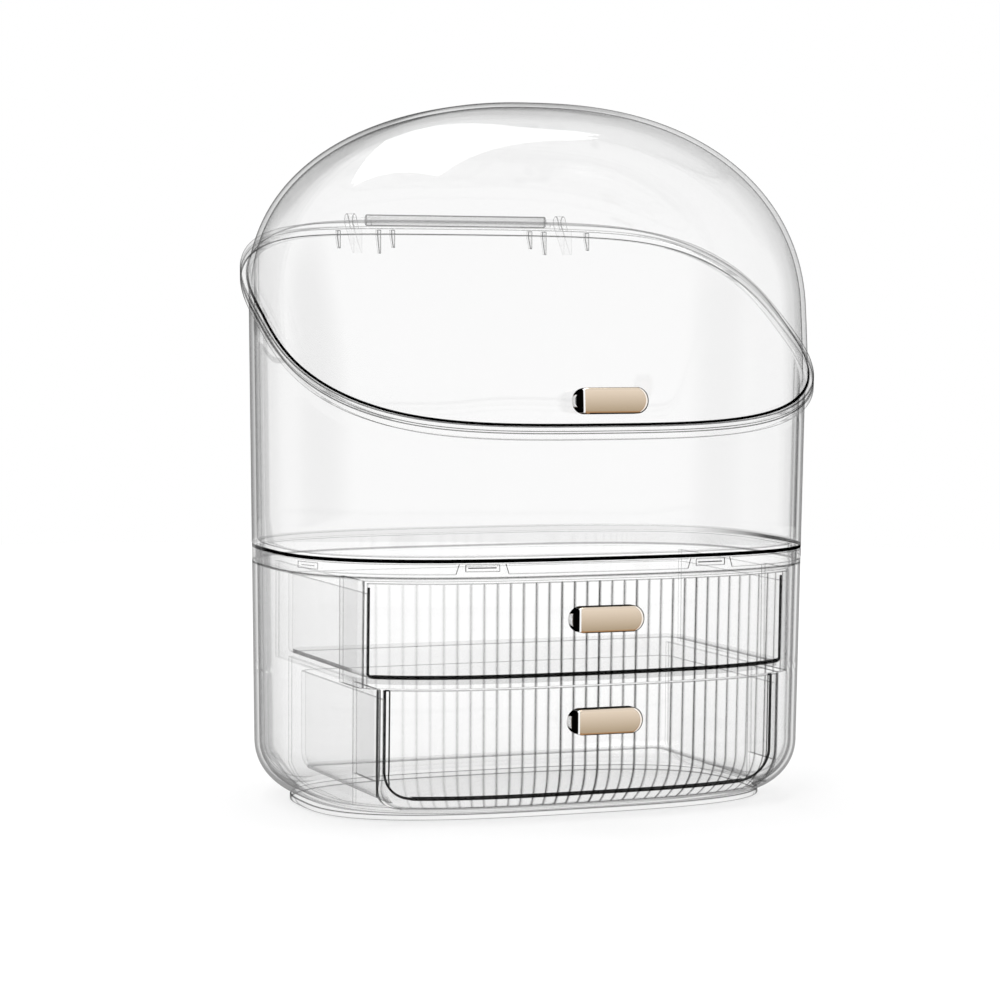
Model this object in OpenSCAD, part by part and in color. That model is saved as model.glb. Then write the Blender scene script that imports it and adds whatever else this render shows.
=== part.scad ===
// Clear dustproof organizer for a dressing table: a rounded cabinet with two fluted
// drawers, a slant-rimmed tray on top of it and a domed lid that hinges at the back.
// Origin: centre of the base on the surface it stands on. +Z up, front towards -Y.

/* [Body] */
// Width across the rim flange
rim_w = 285; // [260:1:310]
// Depth across the rim flange, without the hinge
rim_d = 195; // [180:1:215]
// Height to the top of the dome
total_h = 350; // [335:1:370]
// Squareness of the plan: 2 is an ellipse, 4 is nearly a rounded rectangle
plan_power = 2.94; // [2.6:0.02:3.4]
// Outward lean of the walls, in mm for each 100 mm of height
draft = 1.34; // [0.5:0.02:2]
// How far the rim flange stands out of the tray's wall
flange_out = 4; // [3:0.5:6]
// Wall thickness of the cabinet and the tray
wall = 2.5; // [2:0.1:3]
// Radius that rounds the cabinet's walls into its floor
belly_r = 26; // [20:1:32]
// Height of the joint between the cabinet and the tray
joint_z = 119.5; // [115:0.5:125]
// Thickness of the base plate
base_t = 2.8; // [2:0.1:4]

/* [Rim] */
// Height of the rim along its flat front
rim_front_z = 185; // [175:1:195]
// Height of the rim along its flat back
rim_back_z = 289; // [280:1:295]
// Depth position where the rim starts to climb
rim_ramp_start = -96; // [-100:1:-80]
// Depth position where the rim stops climbing
rim_ramp_end = 85; // [75:1:90]
// Softness of the two bends of the rim
rim_softness = 7; // [4:0.5:10]
// Depth of the tray's flange below the rim
tray_flange_t = 3.4; // [2.5:0.1:4]
// Height of the lid's flange above the rim
lid_flange_t = 3.2; // [2.5:0.1:4]

/* [Dome] */
// Height where the sides of the dome start to curve in
side_start_z = 249; // [230:1:260]
// Shoulder of the sides: the more, the later they curve in
side_shoulder = 2.1; // [1.8:0.05:2.6]
// Crown of the sides: the more, the flatter the top
side_crown = 2.3; // [2:0.05:2.6]
// Height where the front of the dome starts to curve in
front_start_z = 198; // [192:1:215]
// Shoulder of the front
front_shoulder = 1.5; // [1.4:0.05:2.3]
// Crown of the front
front_crown = 2; // [1.8:0.05:2.4]
// Height where the back of the dome starts to curve in
back_start_z = 285; // [270:1:290]
// Shoulder of the back
back_shoulder = 2.4; // [1.8:0.05:2.8]
// Crown of the back
back_crown = 2.2; // [1.8:0.05:2.5]
// Thickness of the lid
lid_t = 2.2; // [1.8:0.1:3]
// How far the lid's wall stands outside the tray's wall
lid_step = 1.5; // [1:0.1:2]

/* [Drawers] */
// Half width of the upper drawer
upper_half_w = 111.6; // [100:0.1:112]
// Half width of the lower drawer
lower_half_w = 104.6; // [95:0.1:105]
// Gap between a drawer and what it slides in
drawer_gap = 0.8; // [0.5:0.1:1.5]
// Depth position of the drawers' back faces
drawer_back_y = 55; // [45:1:58]
// Thickness of the drawers' walls and floors
drawer_t = 2; // [1.6:0.1:2.5]
// Height between the two drawer fronts
split_z = 66.5; // [60:0.5:72]
// Distance between two flutes, measured round the front
flute_pitch = 6.53; // [6:0.01:7]
// Depth of the valleys between the flutes
flute_depth = 0.8; // [0.4:0.1:1]
// Thickness of a drawer front, from its crests to its inside
front_t = 3; // [2.5:0.1:3.5]

/* [Handles] */
// Length of a handle
handle_w = 38; // [34:1:44]
// Height of a handle
handle_h = 12.6; // [11:0.2:14]
// Thickness of a handle
handle_d = 7; // [5:0.5:9]
// How far a handle stands off the surface behind it
handle_stand = 5; // [4.5:0.5:7]
// Height of the handle on the lid
lid_handle_z = 203.5; // [200:0.5:208]
// Height of the handle on the upper drawer
upper_handle_z = 99.5; // [92:0.5:105]
// Height of the handle on the lower drawer
lower_handle_z = 50.3; // [40:0.1:55]

/* [Hinge] */
// Depth position of the hinge axis
hinge_y = 102.5; // [102:0.1:104]
// Height of the hinge axis
hinge_z = 292; // [291.5:0.1:293]
// Half length of the bar on the lid
hinge_bar_half = 51; // [45:1:54]
// Radius of the bar on the lid
hinge_bar_r = 3; // [2.8:0.1:3.2]
// Radius of the hinge pins
pin_r = 1.5; // [1.2:0.1:1.8]
// Running clearance between a pin and its lug
pin_clear = 0.05; // [0.03:0.01:0.1]

/* [Hidden] */
$fn = 48;

clear = [0.86, 0.91, 0.93, 0.45];
champagne = [0.80, 0.71, 0.60];
steel = [0.75, 0.76, 0.78];

plan_steps = 64;            // points round the plan
draft_ref_z = 200;          // height at which the rim's width and depth are taken
belly_z = base_t + belly_r; // height where the belly's rounding starts
belly_steps = 6;
dome_turns = [0, 3.5, 7, 12, 19, 28, 37, 46, 55, 64, 73, 82, 88];
big = 400;                  // longer than anything that is cut
seat = 0.05;                // gap between pieces that are fitted against each other

// ---- shared form -------------------------------------------------------------

// A power that keeps the sign of its base.
function signed_pow(v, e) = sign(v) * pow(abs(v), e);

// Half width and half depth of the outer wall at a height.
function half_w(z) = rim_w / 2 - flange_out + draft * (z - draft_ref_z) / 100;
function half_d(z) = rim_d / 2 - flange_out + draft * (z - draft_ref_z) / 100;

// Unit plan: the superellipse that every wall follows, by its angle parameter.
function plan_x(t) = signed_pow(cos(t), 2 / plan_power);
function plan_y(t) = signed_pow(sin(t), 2 / plan_power);
plan_angles = [for (i = [0:plan_steps - 1]) 360 * i / plan_steps];

// Depth of the outer wall at a side position and height.
function wall_y(x, z) = half_d(z) * pow(1 - pow(abs(x) / half_w(z), plan_power), 1 / plan_power);

// Level ring of the wall, set in by a distance.
function level_ring(z, inset) =
    [for (t = plan_angles) [(half_w(z) - inset) * plan_x(t), (half_d(z) - inset) * plan_y(t), z]];

// Ring in the belly: the wall's outer face, offset inwards, after turning by an angle.
function belly_ring(turn, offset_in) =
    let (r = belly_r - offset_in)
    level_ring(belly_z - r * sin(turn), belly_r - r * cos(turn));

// Height of the rim over a depth position: flat, a straight climb, flat, softly joined.
rim_slope = (rim_back_z - rim_front_z) / (rim_ramp_end - rim_ramp_start);
function soft_ramp(u) = rim_softness * ln(1 + exp(u / rim_softness));
function rim_z(y) = rim_front_z
    + rim_slope * (soft_ramp(y - rim_ramp_start) - soft_ramp(y - rim_ramp_end));
function rim_z_at(t) = rim_z(half_d(draft_ref_z) * plan_y(t));

// Ring that runs along the rim, above it by a height and set in by a distance.
function rim_ring(above, inset) =
    [for (t = plan_angles) let (z = rim_z_at(t) + above)
        [(half_w(z) - inset) * plan_x(t), (half_d(z) - inset) * plan_y(t), z]];

// Closed skin through rings of equal length. A cap lists the faces that close the first
// ring, by the numbers of its points, and the same faces turned over close the last.
module loft(rings, cap = undef) {
    n = len(rings[0]);
    last = len(rings) - 1;
    faces = is_undef(cap) ? [[for (i = [0:n - 1]) i]] : cap;
    sides = [for (k = [0:last - 1], i = [0:n - 1]) let (a = k * n + i, b = k * n + (i + 1) % n)
        [a, a + n, b + n, b]];
    last_cap = [for (f = faces) [for (i = [len(f) - 1:-1:0]) last * n + f[i]]];
    polyhedron([for (r = rings, p = r) p], concat(faces, sides, last_cap), convexity = 8);
}

// Solid body of the cabinet, set in from its outer face, up to a height.
module cabinet_solid(offset_in, top_z) {
    loft(concat([for (k = [belly_steps:-1:0]) belly_ring(90 * k / belly_steps, offset_in)],
                [level_ring(top_z, offset_in)]));
}

// Upright solid body of the cabinet between two heights above the belly, set in.
module wall_solid(offset_in, z0, z1) {
    loft([level_ring(z0, offset_in), level_ring(z1, offset_in)]);
}

// Outline drawn in X and Z, pushed through from one depth to another.
module through_depth(y0, y1) {
    translate([0, y1, 0]) rotate([90, 0, 0]) linear_extrude(y1 - y0) children();
}

// Outline in X and Y, pushed along X at a side position, drawn in Y and Z.
module rib_at(x, t) {
    translate([x - t / 2, 0, 0]) rotate([90, 0, 90]) linear_extrude(t) children();
}

// Upright outline with two rounded bottom corners.
module round_bottomed(hw, z0, z1, r) {
    translate([-hw, z0 + r]) square([2 * hw, z1 - z0 - r]);
    translate([r - hw, z0]) square([2 * (hw - r), z1 - z0]);
    for (s = [-1, 1]) translate([s * (hw - r), z0 + r]) circle(r);
}

// ---- base and cabinet --------------------------------------------------------

base_half_w = half_w(0) - 15.6;
base_half_d = half_d(0) - 23.3;

module base_plate() {
    outline = [for (t = plan_angles) [base_half_w * plan_x(t), base_half_d * plan_y(t)]];
    color(clear) linear_extrude(base_t) polygon(outline);
}

tongue_t = 1.2;          // thickness of the tongue that the tray's skirt fits over
tongue_in = 1.8;         // how far the tongue's outer face is set in
tongue_h = 6.9;
skirt_t = 1.6;
window_top_z = joint_z - 1.5;
window_r = 13.5;         // bottom corners of the drawer window
window_bottom_z = 7;
return_t = 2.2;          // flanges that turn in along the window's sides
return_back_y = -40;
snap_x = 60;             // side position of the front and back snap clips
snap_w = 15;
snap_h = 3.4;
snap_z = joint_z + 5.4;

module drawer_window() {
    upper = upper_half_w + drawer_gap;
    lower = lower_half_w + drawer_gap;
    translate([-upper, split_z]) square([2 * upper, window_top_z - split_z]);
    round_bottomed(lower, window_bottom_z, split_z + 1, window_r);
}

// The two flanges beside one drawer, each in the plane that the drawer slides along.
module window_returns(hw, z0, z1) {
    for (s = [-1, 1])
        translate([s > 0 ? hw : -hw - return_t, -half_d(0), z0])
            cube([return_t, half_d(0) + return_back_y, z1 - z0]);
}

// Places its children at each snap clip: two at the front, two at the back.
module at_snaps() {
    for (s = [-1, 1], turn = [0, 180])
        rotate([0, 0, turn]) translate([s * snap_x, -wall_y(snap_x, snap_z), snap_z])
            rotate([0, 0, s * 11.5]) children();
}

module cabinet_shell() {
    tongue_top = joint_z + tongue_h;
    color(clear) {
        difference() {
            loft(concat(
                [for (k = [belly_steps:-1:0]) belly_ring(90 * k / belly_steps, 0)],
                [level_ring(joint_z, 0), level_ring(joint_z, tongue_in),
                 level_ring(tongue_top, tongue_in), level_ring(tongue_top, tongue_in + tongue_t),
                 level_ring(joint_z - 1, tongue_in + tongue_t), level_ring(joint_z - 3, wall)],
                [for (k = [0:belly_steps]) belly_ring(90 * k / belly_steps, wall)]));
            through_depth(-big, -45) drawer_window();
        }
        intersection() {
            union() {
                window_returns(upper_half_w + drawer_gap, split_z, window_top_z + 0.5);
                window_returns(lower_half_w + drawer_gap, base_t + 4, split_z);
            }
            cabinet_solid(1, joint_z - 1);
        }
        at_snaps() translate([-snap_w / 2 + 1, 0.8, -1]) cube([snap_w - 2, 1.6, 2]);
    }
}

shelf_t = 2.7;
shelf_top_z = split_z + 4.2;
guide_t = 2;
guide_front_y = return_back_y + 0.3;
guide_back_y = 60;
ledge_top_z = 11.2;
ledge_w = 9;

// Upright plates that one drawer runs between.
module guide_walls(hw, z0, z1) {
    for (s = [-1, 1])
        translate([s > 0 ? hw : -hw - guide_t, guide_front_y, z0])
            cube([guide_t, guide_back_y - guide_front_y, z1 - z0]);
}

module drawer_frame() {
    upper = upper_half_w + drawer_gap;
    lower = lower_half_w + drawer_gap;
    color(clear) {
        intersection() {
            union() {
                guide_walls(upper, shelf_top_z - shelf_t, window_top_z - 0.5);
                guide_walls(lower, 0, shelf_top_z - shelf_t);
                translate([-upper - guide_t, guide_front_y, shelf_top_z - shelf_t])
                    cube([2 * (upper + guide_t), guide_back_y - guide_front_y, shelf_t]);
                for (s = [-1, 1])
                    translate([s > 0 ? lower - ledge_w : -lower, guide_front_y, ledge_top_z - guide_t])
                        cube([ledge_w, guide_back_y - guide_front_y, guide_t]);
            }
            cabinet_solid(wall + seat, joint_z - 1.5);
        }
        intersection() {
            translate([0.2 - upper, -big, shelf_top_z - shelf_t])
                cube([2 * (upper - 0.2), big, shelf_t]);
            wall_solid(front_t + 4.5, belly_z, joint_z);
        }
    }
}

// ---- drawers -----------------------------------------------------------------

panel_ref_z = 92;
flutes_each_side = 19;
flute_segments = 4;
flutes = 2 * flutes_each_side;

// Side position of each valley: equal steps measured along the curve of the front.
function front_slope(x) =
    let (u = x / half_w(panel_ref_z))
    half_d(panel_ref_z) / half_w(panel_ref_z) * pow(u, plan_power - 1)
        / pow(1 - pow(u, plan_power), 1 - 1 / plan_power);
function valley_x(i) = i == 0 ? 0
    : let (x = valley_x(i - 1))
      x + flute_pitch / sqrt(1 + pow(front_slope(x + flute_pitch / 2), 2));
valleys = [for (i = [0:flutes_each_side]) valley_x(i)];

// Place across the front at a count of flutes from the middle, as a share of the half width.
function front_share(count) =
    let (i = min(floor(abs(count)), flutes_each_side - 1), f = abs(count) - i)
    sign(count) * (valleys[i] + f * (valleys[i + 1] - valleys[i])) / half_w(panel_ref_z);

// Point of a drawer front: share across it, half sizes of the wall there, distance inwards.
function front_point(u, a, b, depth, z) =
    let (v = pow(1 - pow(abs(u), plan_power), 1 / plan_power),
         gx = signed_pow(u, plan_power - 1) / a,
         gy = -pow(v, plan_power - 1) / b,
         g = sqrt(gx * gx + gy * gy))
    [a * u - depth * gx / g, -b * v - depth * gy / g, z];

// One ring of a drawer front: a fluted outside and a plain inside.
function front_ring(turn, z) =
    let (lift = turn > 0 ? 0 : z - belly_z,
         ro = belly_r,
         ri = belly_r - front_t,
         zo = belly_z + lift - ro * sin(turn),
         zi = belly_z + lift - ri * sin(turn),
         ino = belly_r - ro * cos(turn),
         ini = belly_r - ri * cos(turn),
         steps = flutes_each_side * flute_segments)
    concat(
        [for (k = [-steps:steps])
            front_point(front_share(k / flute_segments), half_w(zo) - ino, half_d(zo) - ino,
                        flute_depth * (1 - abs(sin(180 * k / flute_segments))), zo)],
        [for (k = [flutes_each_side:-1:-flutes_each_side])
            front_point(front_share(k), half_w(zi) - ini, half_d(zi) - ini, 0, zi)]);

// Edge of a drawer front: one face for each flute, from its crest line to the inside.
front_edge = let (outside = flutes * flute_segments + 1)
    [for (j = [0:flutes - 1]) concat([for (k = [0:flute_segments]) j * flute_segments + k],
                                     [outside + flutes - j - 1, outside + flutes - j])];

module drawer_front(turns, z0, z1) {
    loft(concat([for (turn = turns) front_ring(turn, belly_z)], [front_ring(0, z0)],
                [front_ring(0, z1)]), front_edge);
}

// Open box of a drawer behind its front, a little narrower, with rounded back corners. Its
// sides round into its floor from a height below the floor, as its front does.
module drawer_box(front_hw, z0, z1, round_z, r) {
    hw = front_hw - box_step;
    back_r = 8;
    depth = 2 * half_d(0);
    difference() {
        intersection() {
            translate([0, 0, z0]) linear_extrude(z1 - z0)
                rotate(180) round_bottomed(hw, -drawer_back_y, half_d(0), back_r);
            through_depth(-depth, depth) round_bottomed(hw, round_z, z1 + 1, r);
        }
        intersection() {
            translate([0, 0, z0 + drawer_t]) linear_extrude(z1)
                rotate(180) round_bottomed(hw - drawer_t, drawer_t - drawer_back_y, depth,
                                           back_r - drawer_t);
            through_depth(-2 * depth, depth)
                round_bottomed(hw - drawer_t, round_z + drawer_t, z1 + 1, r - drawer_t);
        }
    }
}

box_step = 0.3;         // how much narrower a drawer's box is than its front, each side
screw_x = 11;          // side position of a handle's two screws
screw_r = 1.25;
screw_hole_r = 1.45;

module screw_holes(z) {
    for (s = [-1, 1])
        translate([s * screw_x, -half_d(z) + 15, z]) rotate([90, 0, 0]) cylinder(r = screw_hole_r, h = 20);
}

upper_floor_z = shelf_top_z + 0.3;
lower_floor_z = ledge_top_z + 0.3;
front_gap = 0.3;       // half the gap between the two drawer fronts

module upper_drawer() {
    color(clear) difference() {
        union() {
            intersection() {
                drawer_front([], split_z + front_gap, window_top_z - drawer_gap);
                through_depth(-big, 0) translate([-upper_half_w, 0]) square([2 * upper_half_w, big]);
            }
            intersection() {
                drawer_box(upper_half_w, upper_floor_z, window_top_z - 6, upper_floor_z, 3);
                wall_solid(front_t / 2, split_z, joint_z);
            }
        }
        screw_holes(upper_handle_z);
    }
}

module lower_drawer() {
    turns = [70, 56, 42, 28, 14];
    color(clear) difference() {
        union() {
            intersection() {
                drawer_front(turns, belly_z, split_z - front_gap);
                through_depth(-big, 0)
                    round_bottomed(lower_half_w, window_bottom_z + drawer_gap, big / 2,
                                   window_r - drawer_gap);
            }
            intersection() {
                drawer_box(lower_half_w, lower_floor_z, split_z - 5,
                           window_bottom_z + drawer_gap, window_r - drawer_gap);
                cabinet_solid(front_t / 2, joint_z);
            }
        }
        screw_holes(lower_handle_z);
    }
}

// ---- tray --------------------------------------------------------------------

tray_floor_t = 2.4;
tray_floor_z = joint_z + 7.3;   // underside of the tray's floor
tray_fillet = 4;
lug_x = 59.6;
lug_t = 4.8;
lug_r = 3.4;
rib_t = 1.4;
// Side position and drop of each rib under the back of the rim.
ribs = [[39, 9.5], [47, 12.5], [70.5, 9.5]];

module back_rib(x, drop, t) {
    top = rim_z(wall_y(x, rim_back_z)) - 1;
    y = wall_y(x, rim_back_z);
    for (s = [-1, 1])
        rib_at(s * x, t) polygon([[y - 1.5, top], [y + flange_out - 0.4, top],
                                  [y + flange_out - 0.4, top - tray_flange_t],
                                  [y + 0.3, top - drop], [y - 1.5, top - drop]]);
}

// Lug that carries one hinge pin, on a neck that grows out of the tray's wall.
module hinge_lug(s) {
    y = wall_y(lug_x, rim_back_z);
    rim = rim_z(y);
    difference() {
        union() {
            rib_at(s * lug_x, lug_t)
                polygon([[y - 1.5, rim - 0.4], [y + flange_out, rim - 0.4],
                         [hinge_y - 2, hinge_z], [hinge_y + 2, hinge_z],
                         [hinge_y + 2.6, hinge_z - 2.2], [y + 0.4, rim - 13], [y - 1.5, rim - 13]]);
            translate([s * lug_x - lug_t / 2, hinge_y, hinge_z]) rotate([0, 90, 0])
                cylinder(r = lug_r, h = lug_t);
        }
        translate([s * lug_x - lug_t, hinge_y, hinge_z]) rotate([0, 90, 0])
            cylinder(r = pin_r + pin_clear, h = 2 * lug_t);
    }
}

module vanity_tray() {
    floor_top = tray_floor_z + tray_floor_t;
    f = tray_fillet;
    color(clear) {
        difference() {
            loft([level_ring(tray_floor_z, skirt_t), level_ring(joint_z, skirt_t),
                  level_ring(joint_z, 0), rim_ring(-tray_flange_t, 0),
                  rim_ring(-tray_flange_t, -flange_out), rim_ring(0, -flange_out),
                  rim_ring(0, wall), level_ring(floor_top + f, wall),
                  level_ring(floor_top + 0.3 * f, wall + 0.3 * f), level_ring(floor_top, wall + f)]);
            at_snaps() translate([-snap_w / 2, -2, -snap_h / 2]) cube([snap_w, 4.4, snap_h]);
        }
        for (rib = ribs) back_rib(rib[0], rib[1], rib_t);
        for (s = [-1, 1]) hinge_lug(s);
    }
}

// ---- lid ---------------------------------------------------------------------

lid_gap = 0.6;           // gap between the two flanges when the lid is shut
web_t = 2.2;
pin_seat = 8;            // depth to which a pin is pressed into the bar

// Each flank of the dome: where it starts to curve in, its shoulder and its crown.
side_flank = [side_start_z, side_shoulder, side_crown];
front_flank = [front_start_z, front_shoulder, front_crown];
back_flank = [back_start_z, back_shoulder, back_crown];

// Share of the full plan that is left at a height, for one flank of the dome.
function plan_share(z, flank, top) = z <= flank[0] ? 1
    : pow(1 - pow((z - flank[0]) / (top - flank[0]), flank[1]), 1 / flank[2]);

// Point of the dome at a plan angle and height, inside its outer face by a distance.
function dome_point(t, z, inset) =
    let (top = total_h - inset,
         side = plan_share(z, side_flank, top),
         end = plan_share(z, plan_y(t) < 0 ? front_flank : back_flank, top))
    [(half_w(z) + lid_step - inset) * side * plan_x(t),
     (half_d(z) + lid_step - inset) * end * plan_y(t), z];

// Ring of the dome: a share of the way from the rim to the top, by the sine of a turn.
function dome_ring(turn, above, inset) =
    [for (t = plan_angles) let (z0 = rim_z_at(t) + above)
        dome_point(t, z0 + (total_h - inset - z0) * sin(turn), inset)];

// Ring under the lid's flange where it leaves the tray's rim, or near its own inner edge
// where the dome's wall stands over the rim.
lid_seat_ring =
    [for (t = plan_angles)
        let (z = rim_z_at(t) + lid_gap,
             inner = dome_point(t, z, lid_t),
             in = min(wall, norm(inner - [half_w(z) * plan_x(t), half_d(z) * plan_y(t), z]) - 0.3))
        [(half_w(z) - in) * plan_x(t), (half_d(z) - in) * plan_y(t), z]];

// Depth of the dome's outer face in the middle of its front, and its lean there.
function lid_front(z) = -dome_point(-90, z, 0)[1];
lean_span = 4;
lid_handle_lean = atan((lid_front(lid_handle_z - lean_span) - lid_front(lid_handle_z + lean_span))
                       / (2 * lean_span));
lid_front_y = -lid_front(lid_handle_z);

// Puts its children, drawn about the origin, on the front of the dome.
module on_lid_front() {
    translate([0, lid_front_y, lid_handle_z]) rotate([-lid_handle_lean, 0, 0]) children();
}

module dome_lid() {
    n = len(dome_turns);
    web_z = rim_z(half_d(rim_back_z)) + lid_gap + 0.6;
    color(clear) difference() {
        union() {
            loft(concat(
                [for (k = [n - 1:-1:0]) dome_ring(dome_turns[k], lid_gap, lid_t)],
                [lid_seat_ring, rim_ring(lid_gap, -flange_out), rim_ring(lid_flange_t, -flange_out)],
                [for (k = [0:n - 1]) dome_ring(dome_turns[k], lid_flange_t, 0)]));
            translate([-hinge_bar_half, hinge_y, hinge_z]) rotate([0, 90, 0])
                cylinder(r = hinge_bar_r, h = 2 * hinge_bar_half);
            translate([-hinge_bar_half, wall_y(hinge_bar_half, rim_back_z) + 1, web_z])
                cube([2 * hinge_bar_half, hinge_y - wall_y(hinge_bar_half, rim_back_z) - 1, web_t]);
        }
        for (s = [-1, 1])
            translate([s * (hinge_bar_half - pin_seat / 2 + 1), hinge_y, hinge_z]) rotate([0, 90, 0])
                cylinder(r = pin_r, h = pin_seat + 2, center = true);
        on_lid_front() for (s = [-1, 1])
            translate([s * screw_x, 10, 0]) rotate([90, 0, 0]) cylinder(r = screw_hole_r, h = 20);
    }
}

module hinge_pins() {
    pin_end = lug_x + lug_t / 2 + 0.6;
    color(clear) for (s = [-1, 1])
        translate([s > 0 ? hinge_bar_half - pin_seat : -pin_end, hinge_y, hinge_z]) rotate([0, 90, 0])
            cylinder(r = pin_r, h = pin_end - hinge_bar_half + pin_seat);
}

// ---- handles -----------------------------------------------------------------

handle_edge_r = 1.2;
handle_end_r = 2.5;      // bend of the face towards each end
neck_r = 3.1;            // half height of the neck behind a handle
screw_bite = 4.5;        // length of a screw inside the neck of a handle
head_r = 2.4;
head_h = 1.4;

// Half of a handle's section: flat back, straight side, rounded front edge.
module handle_half_section() {
    r = handle_h / 2;
    e = handle_edge_r;
    square([r, handle_d - e]);
    square([r - e, handle_d]);
    translate([r - e, handle_d - e]) circle(e);
}

// Plan of a handle: a face towards -Y that is flat and bends back at both ends.
module handle_plan() {
    e = handle_end_r;
    half = handle_w / 2;
    translate([-half, e - handle_d]) square([handle_w, handle_d]);
    translate([e - half, -handle_d]) square([handle_w - 2 * e, handle_d]);
    for (s = [-1, 1]) translate([s * (half - e), e - handle_d]) circle(e);
}

// Stadium with softened front edges, its back on the origin and its face towards -Y.
module handle_stadium() {
    straight = handle_w - handle_h;
    rotate([90, 0, 0]) {
        for (s = [0, 180])
            rotate([0, 0, s]) translate([straight / 2, 0, 0]) rotate([0, 0, -90])
                rotate_extrude(angle = 180) intersection() {
                    handle_half_section();
                    square(big);
                }
        translate([-straight / 2, 0, 0]) rotate([90, 0, 90]) linear_extrude(straight) {
            handle_half_section();
            mirror([1, 0]) handle_half_section();
        }
    }
}

// Neck that carries a handle, from the origin into the handle's back.
module handle_neck() {
    reach = (handle_w - handle_h) / 2;
    rotate([90, 0, 0]) linear_extrude(handle_stand + 1) {
        for (s = [-1, 1]) translate([s * reach, 0]) circle(neck_r);
        translate([-reach, -neck_r]) square([2 * reach, 2 * neck_r]);
    }
}

// Pull whose neck starts at the origin and whose face is towards -Y.
module pull() {
    difference() {
        union() {
            translate([0, -handle_stand, 0]) intersection() {
                handle_stadium();
                translate([0, 0, -handle_h]) linear_extrude(2 * handle_h) handle_plan();
            }
            handle_neck();
        }
        for (s = [-1, 1])
            translate([s * screw_x, 1, 0]) rotate([90, 0, 0]) cylinder(r = screw_r, h = screw_bite + 1.3);
    }
}

// Two screws through a wall, their heads on its inner face.
module pull_screws(grip) {
    for (s = [-1, 1])
        translate([s * screw_x, grip, 0]) rotate([90, 0, 0]) {
            cylinder(r = screw_r, h = grip + screw_bite);
            translate([0, 0, -head_h]) cylinder(r = head_r, h = head_h);
        }
}

module on_drawer_front(z) {
    translate([0, -half_d(z) - 2 * seat, z]) children();
}

drawer_grip = front_t + 4 * seat;
lid_grip = lid_t + 0.5;   // the inner face leans and curves away behind the heads

module lid_handle() color(champagne) on_lid_front() translate([0, -2 * seat, 0]) pull();
module upper_drawer_handle() color(champagne) on_drawer_front(upper_handle_z) pull();
module lower_drawer_handle() color(champagne) on_drawer_front(lower_handle_z) pull();
module lid_handle_screws() color(steel) on_lid_front() translate([0, -2 * seat, 0]) pull_screws(lid_grip);
module upper_handle_screws() color(steel) on_drawer_front(upper_handle_z) pull_screws(drawer_grip);
module lower_handle_screws() color(steel) on_drawer_front(lower_handle_z) pull_screws(drawer_grip);

base_plate();
cabinet_shell();
drawer_frame();
vanity_tray();
dome_lid();
hinge_pins();
upper_drawer();
lower_drawer();
lid_handle();
upper_drawer_handle();
lower_drawer_handle();
lid_handle_screws();
upper_handle_screws();
lower_handle_screws();
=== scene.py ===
"""Looks of a clear dustproof organizer: domed lid, slant-rimmed tray and two fluted drawers.

Every wall follows one superellipse plan that leans outwards with height. Each piece is a
grid of points worked out with numpy in millimetres and written in metres, and it rides on
the body of the solid that it stands for.
"""

import math

import bmesh
import bpy
import numpy as np
from mathutils import Matrix, Vector


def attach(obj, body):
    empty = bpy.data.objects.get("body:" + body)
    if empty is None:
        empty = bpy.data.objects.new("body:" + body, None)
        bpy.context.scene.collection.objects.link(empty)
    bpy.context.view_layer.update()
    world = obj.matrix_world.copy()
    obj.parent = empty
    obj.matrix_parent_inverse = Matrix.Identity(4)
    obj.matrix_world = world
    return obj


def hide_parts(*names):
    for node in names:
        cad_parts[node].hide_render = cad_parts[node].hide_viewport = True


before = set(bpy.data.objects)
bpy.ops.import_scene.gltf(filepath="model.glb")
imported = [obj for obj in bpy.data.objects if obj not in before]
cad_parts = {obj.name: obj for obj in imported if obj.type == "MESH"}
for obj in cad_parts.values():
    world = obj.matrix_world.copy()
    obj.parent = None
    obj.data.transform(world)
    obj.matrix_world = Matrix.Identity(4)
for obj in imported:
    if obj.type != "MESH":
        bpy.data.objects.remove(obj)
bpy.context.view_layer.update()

MM = 0.001

# ---- sizes of the object, in mm ------------------------------------------------

RIM_W, RIM_D, TOTAL_H = 285.0, 195.0, 350.0
PLAN_POWER = 2.94
DRAFT = 0.0134
DRAFT_REF_Z = 200.0
FLANGE_OUT = 4.0
WALL = 2.5
BELLY_R = 26.0
BASE_T, FOOT_IN_W, FOOT_IN_D = 2.8, 15.6, 23.3
BELLY_Z = BASE_T + BELLY_R
JOINT_Z = 119.5

RIM_FRONT_Z, RIM_BACK_Z = 185.0, 289.0
RAMP_START, RAMP_END, RAMP_SOFT = -96.0, 85.0, 7.0
TRAY_FLANGE_T, LID_FLANGE_T, LID_GAP = 3.4, 3.2, 0.6
LID_T, LID_STEP = 2.2, 1.5

# start height, shoulder and crown of each flank of the dome
SIDE_FLANK = (249.0, 2.1, 2.3)
FRONT_FLANK = (198.0, 1.5, 2.0)
BACK_FLANK = (285.0, 2.4, 2.2)

WINDOW_TOP, WINDOW_BOTTOM, WINDOW_R = JOINT_Z - 1.5, 7.0, 13.5
UPPER_HALF_W, LOWER_HALF_W, DRAWER_GAP = 111.6, 104.6, 0.8
UPPER_WINDOW, LOWER_WINDOW = UPPER_HALF_W + DRAWER_GAP, LOWER_HALF_W + DRAWER_GAP
DRAWER_BACK_Y, DRAWER_T = 55.0, 2.0
SPLIT_Z, FRONT_GAP, FRONT_T = 66.5, 0.3, 3.0
FLUTE_PITCH, FLUTE_DEPTH, FLUTES_EACH_SIDE = 6.53, 0.8, 19
PANEL_REF_Z = 92.0
UPPER_FLOOR_Z, LOWER_FLOOR_Z = 71.0, 11.5

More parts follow.
